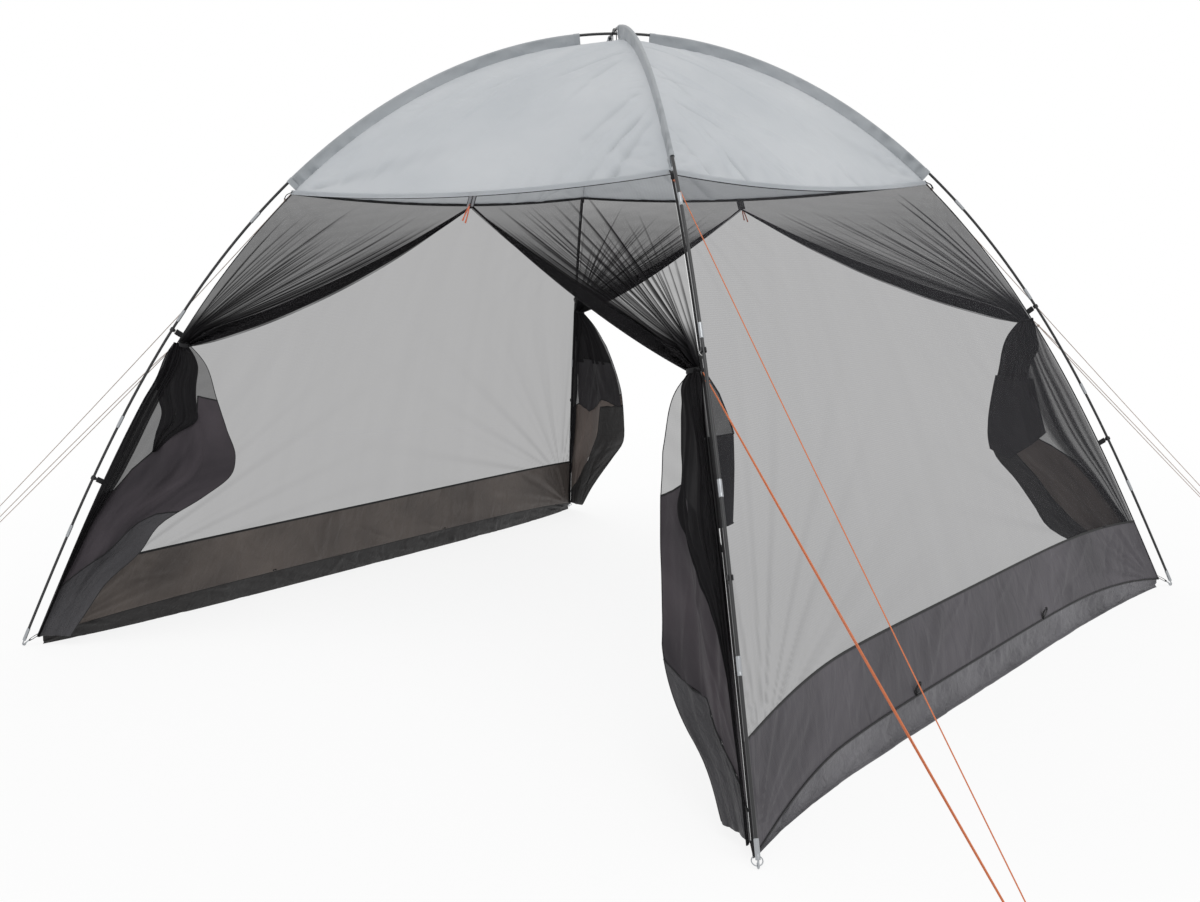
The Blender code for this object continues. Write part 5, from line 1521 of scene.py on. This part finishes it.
# Tie at the crossing
apex = {"wire": 0.0030, "clear": 0.0008, "halfPoints": 24, "sides": 10}


def makeApexTie():
    # Two half circles joined by straight sides, round both poles and through the canopy's top
    wire, clear = apex["wire"], apex["clear"]
    half = arch["rod"] / 2 * math.sqrt(2) + clear + wire
    top = arch["height"] + crossingShift + arch["rod"] / 2 + clear + wire / 2
    low = arch["height"] - arch["ridgeDrop"] + arch["clothHalf"] + wire / 2
    turn = np.linspace(0, math.pi, apex["halfPoints"])
    upper = np.stack([half * np.cos(turn), top - half + half * np.sin(turn)], axis=-1)
    lower = np.stack([-half * np.cos(turn), low + half - half * np.sin(turn)], axis=-1)
    flat = np.concatenate([upper, lower])
    path = np.stack([np.zeros(len(flat)), flat[:, 0], flat[:, 1]], axis=-1)
    x, y = pathWays(np.concatenate([path, path[:1]]), sideways)
    px, py = circle(apex["sides"])
    finish(sweep("apex_cord", path, x[:-1], y[:-1], px * wire / 2, py * wire / 2, [bindingTape], closed=True),
           "tie_cord", "apex_tie")
    print("crossing tied")


makeApexTie()


# Zips: coil and tapes above the open doors, sliders and pull cords
zips = {
    "tapeWidth": 0.012, "tapeDepth": 0.0016, "tapeOut": 0.0014, "tapeApart": 0.0030, "tapeUp": 0.012,
    "edge": 0.0014, "coil": 0.0034, "coilInside": 0.0012, "coilWire": 0.0009, "coilUp": 0.010,
    "coilShort": 0.004, "coilTurn": 4200, "coilPoints": 110,
    "eye": 0.0064, "eyeWire": 0.0013, "eyePoints": 28, "tailWidth": 0.0052, "tailThick": 0.85,
    "tails": (0.050, 0.058), "tailGap": 0.0005, "tailRise": (0.0008, 0.0022, 0.005), "tailPoints": 20,
}


def makeZips():
    # Tapes straight down the door's middle, and a coil between them that weaves by a sine
    for name, end in (("front", -1), ("rear", 1)):
        aside = door["zipOffMiddle"][end]
        half, height = seamAt(arch["canopyEdge"], arch["ridgeDrop"])
        fall = doorFall(end)
        out = np.array([0, end * abs(fall[2]), abs(fall[1])])
        hem = np.array([aside, end * half, height - hemDrop(aside / half)])
        for hand, side in (("left", -1), ("right", 1)):
            beside = sideways * side * (zips["tapeApart"] + zips["tapeWidth"] / 2)
            line = np.array([hem + out * zips["tapeOut"] + fall * step + beside
                             for step in np.linspace(-zips["tapeUp"], door["zipStub"], 12)])
            finish(tape(f"{name}_zip_tape_{hand}", line, sideways, zips["tapeWidth"], zips["tapeDepth"],
                        [zipTape]), "zip_metal")
            edge = line + sideways * side * zips["tapeWidth"] / 2
            finish(rope(f"{name}_zip_edge_{hand}", edge, sideways, zips["edge"], [bindingTape], sides=8),
                   "zip_metal")
        steps = np.linspace(-zips["coilUp"], door["zipStub"] - zips["coilShort"], zips["coilPoints"])
        coil = np.array([hem - out * zips["coilInside"] + fall * step for step in steps])
        coil = coil + sideways * (zips["coil"] * np.sin(steps * zips["coilTurn"]))[:, None] * 0.5
        finish(rope(f"{name}_zip_coil", coil, skyward, zips["coilWire"], [coilFinish], sides=6), "zip_metal")
        slider = frame["nodes"][f"{name}_zip_slider"]
        slider.data.materials.clear()
        slider.data.materials.append(coilFinish)
        makePull(name, fall, out)
    print("zips closed")


def makePull(name, fall, out):
    # An eye through the slider's bail, and two cords knotted at their ends
    hinge = next(joint["pos_m"] for joint in frame["joints"] if joint["name"] == f"{name}_pull_hinge")
    hinge = np.array(hinge)
    turn = fullTurn(zips["eyePoints"])
    radius, wire = zips["eye"] / 2, zips["eyeWire"] / 2
    away = fall * np.cos(turn)[:, None] + out * np.sin(turn)[:, None]
    px, py = circle(8)
    finish(sweep(f"{name}_pull_eye", hinge + fall * radius + away * radius, away,
                 np.broadcast_to(sideways, away.shape), px * wire, py * wire, [pullCord], f"{name}_pull",
                 closed=True), "pull_cord", f"{name}_zip_pull")
    near, middle, far = zips["tailRise"]
    root = hinge + fall * (zips["eye"] + zips["tailGap"]) + out * near
    for number, length in enumerate(zips["tails"]):
        lean = sideways * (number - 0.5) * 0.5 * length
        knots = [root, root + fall * length * 0.4 + lean * 0.35 + out * middle,
                 root + fall * length + lean * 0.55 + out * far]
        knot = 1 + 0.35 * np.exp(-((np.linspace(0, 1, zips["tailPoints"]) - 0.95) / 0.05) ** 2)
        finish(rope(f"{name}_pull_tail_{number + 1}", curveThrough(knots, zips["tailPoints"]), sideways,
                    zips["tailWidth"] / 2 * zips["tailThick"] * knot, [pullCord], f"{name}_pull", sides=8),
               "pull_cord")


makeZips()
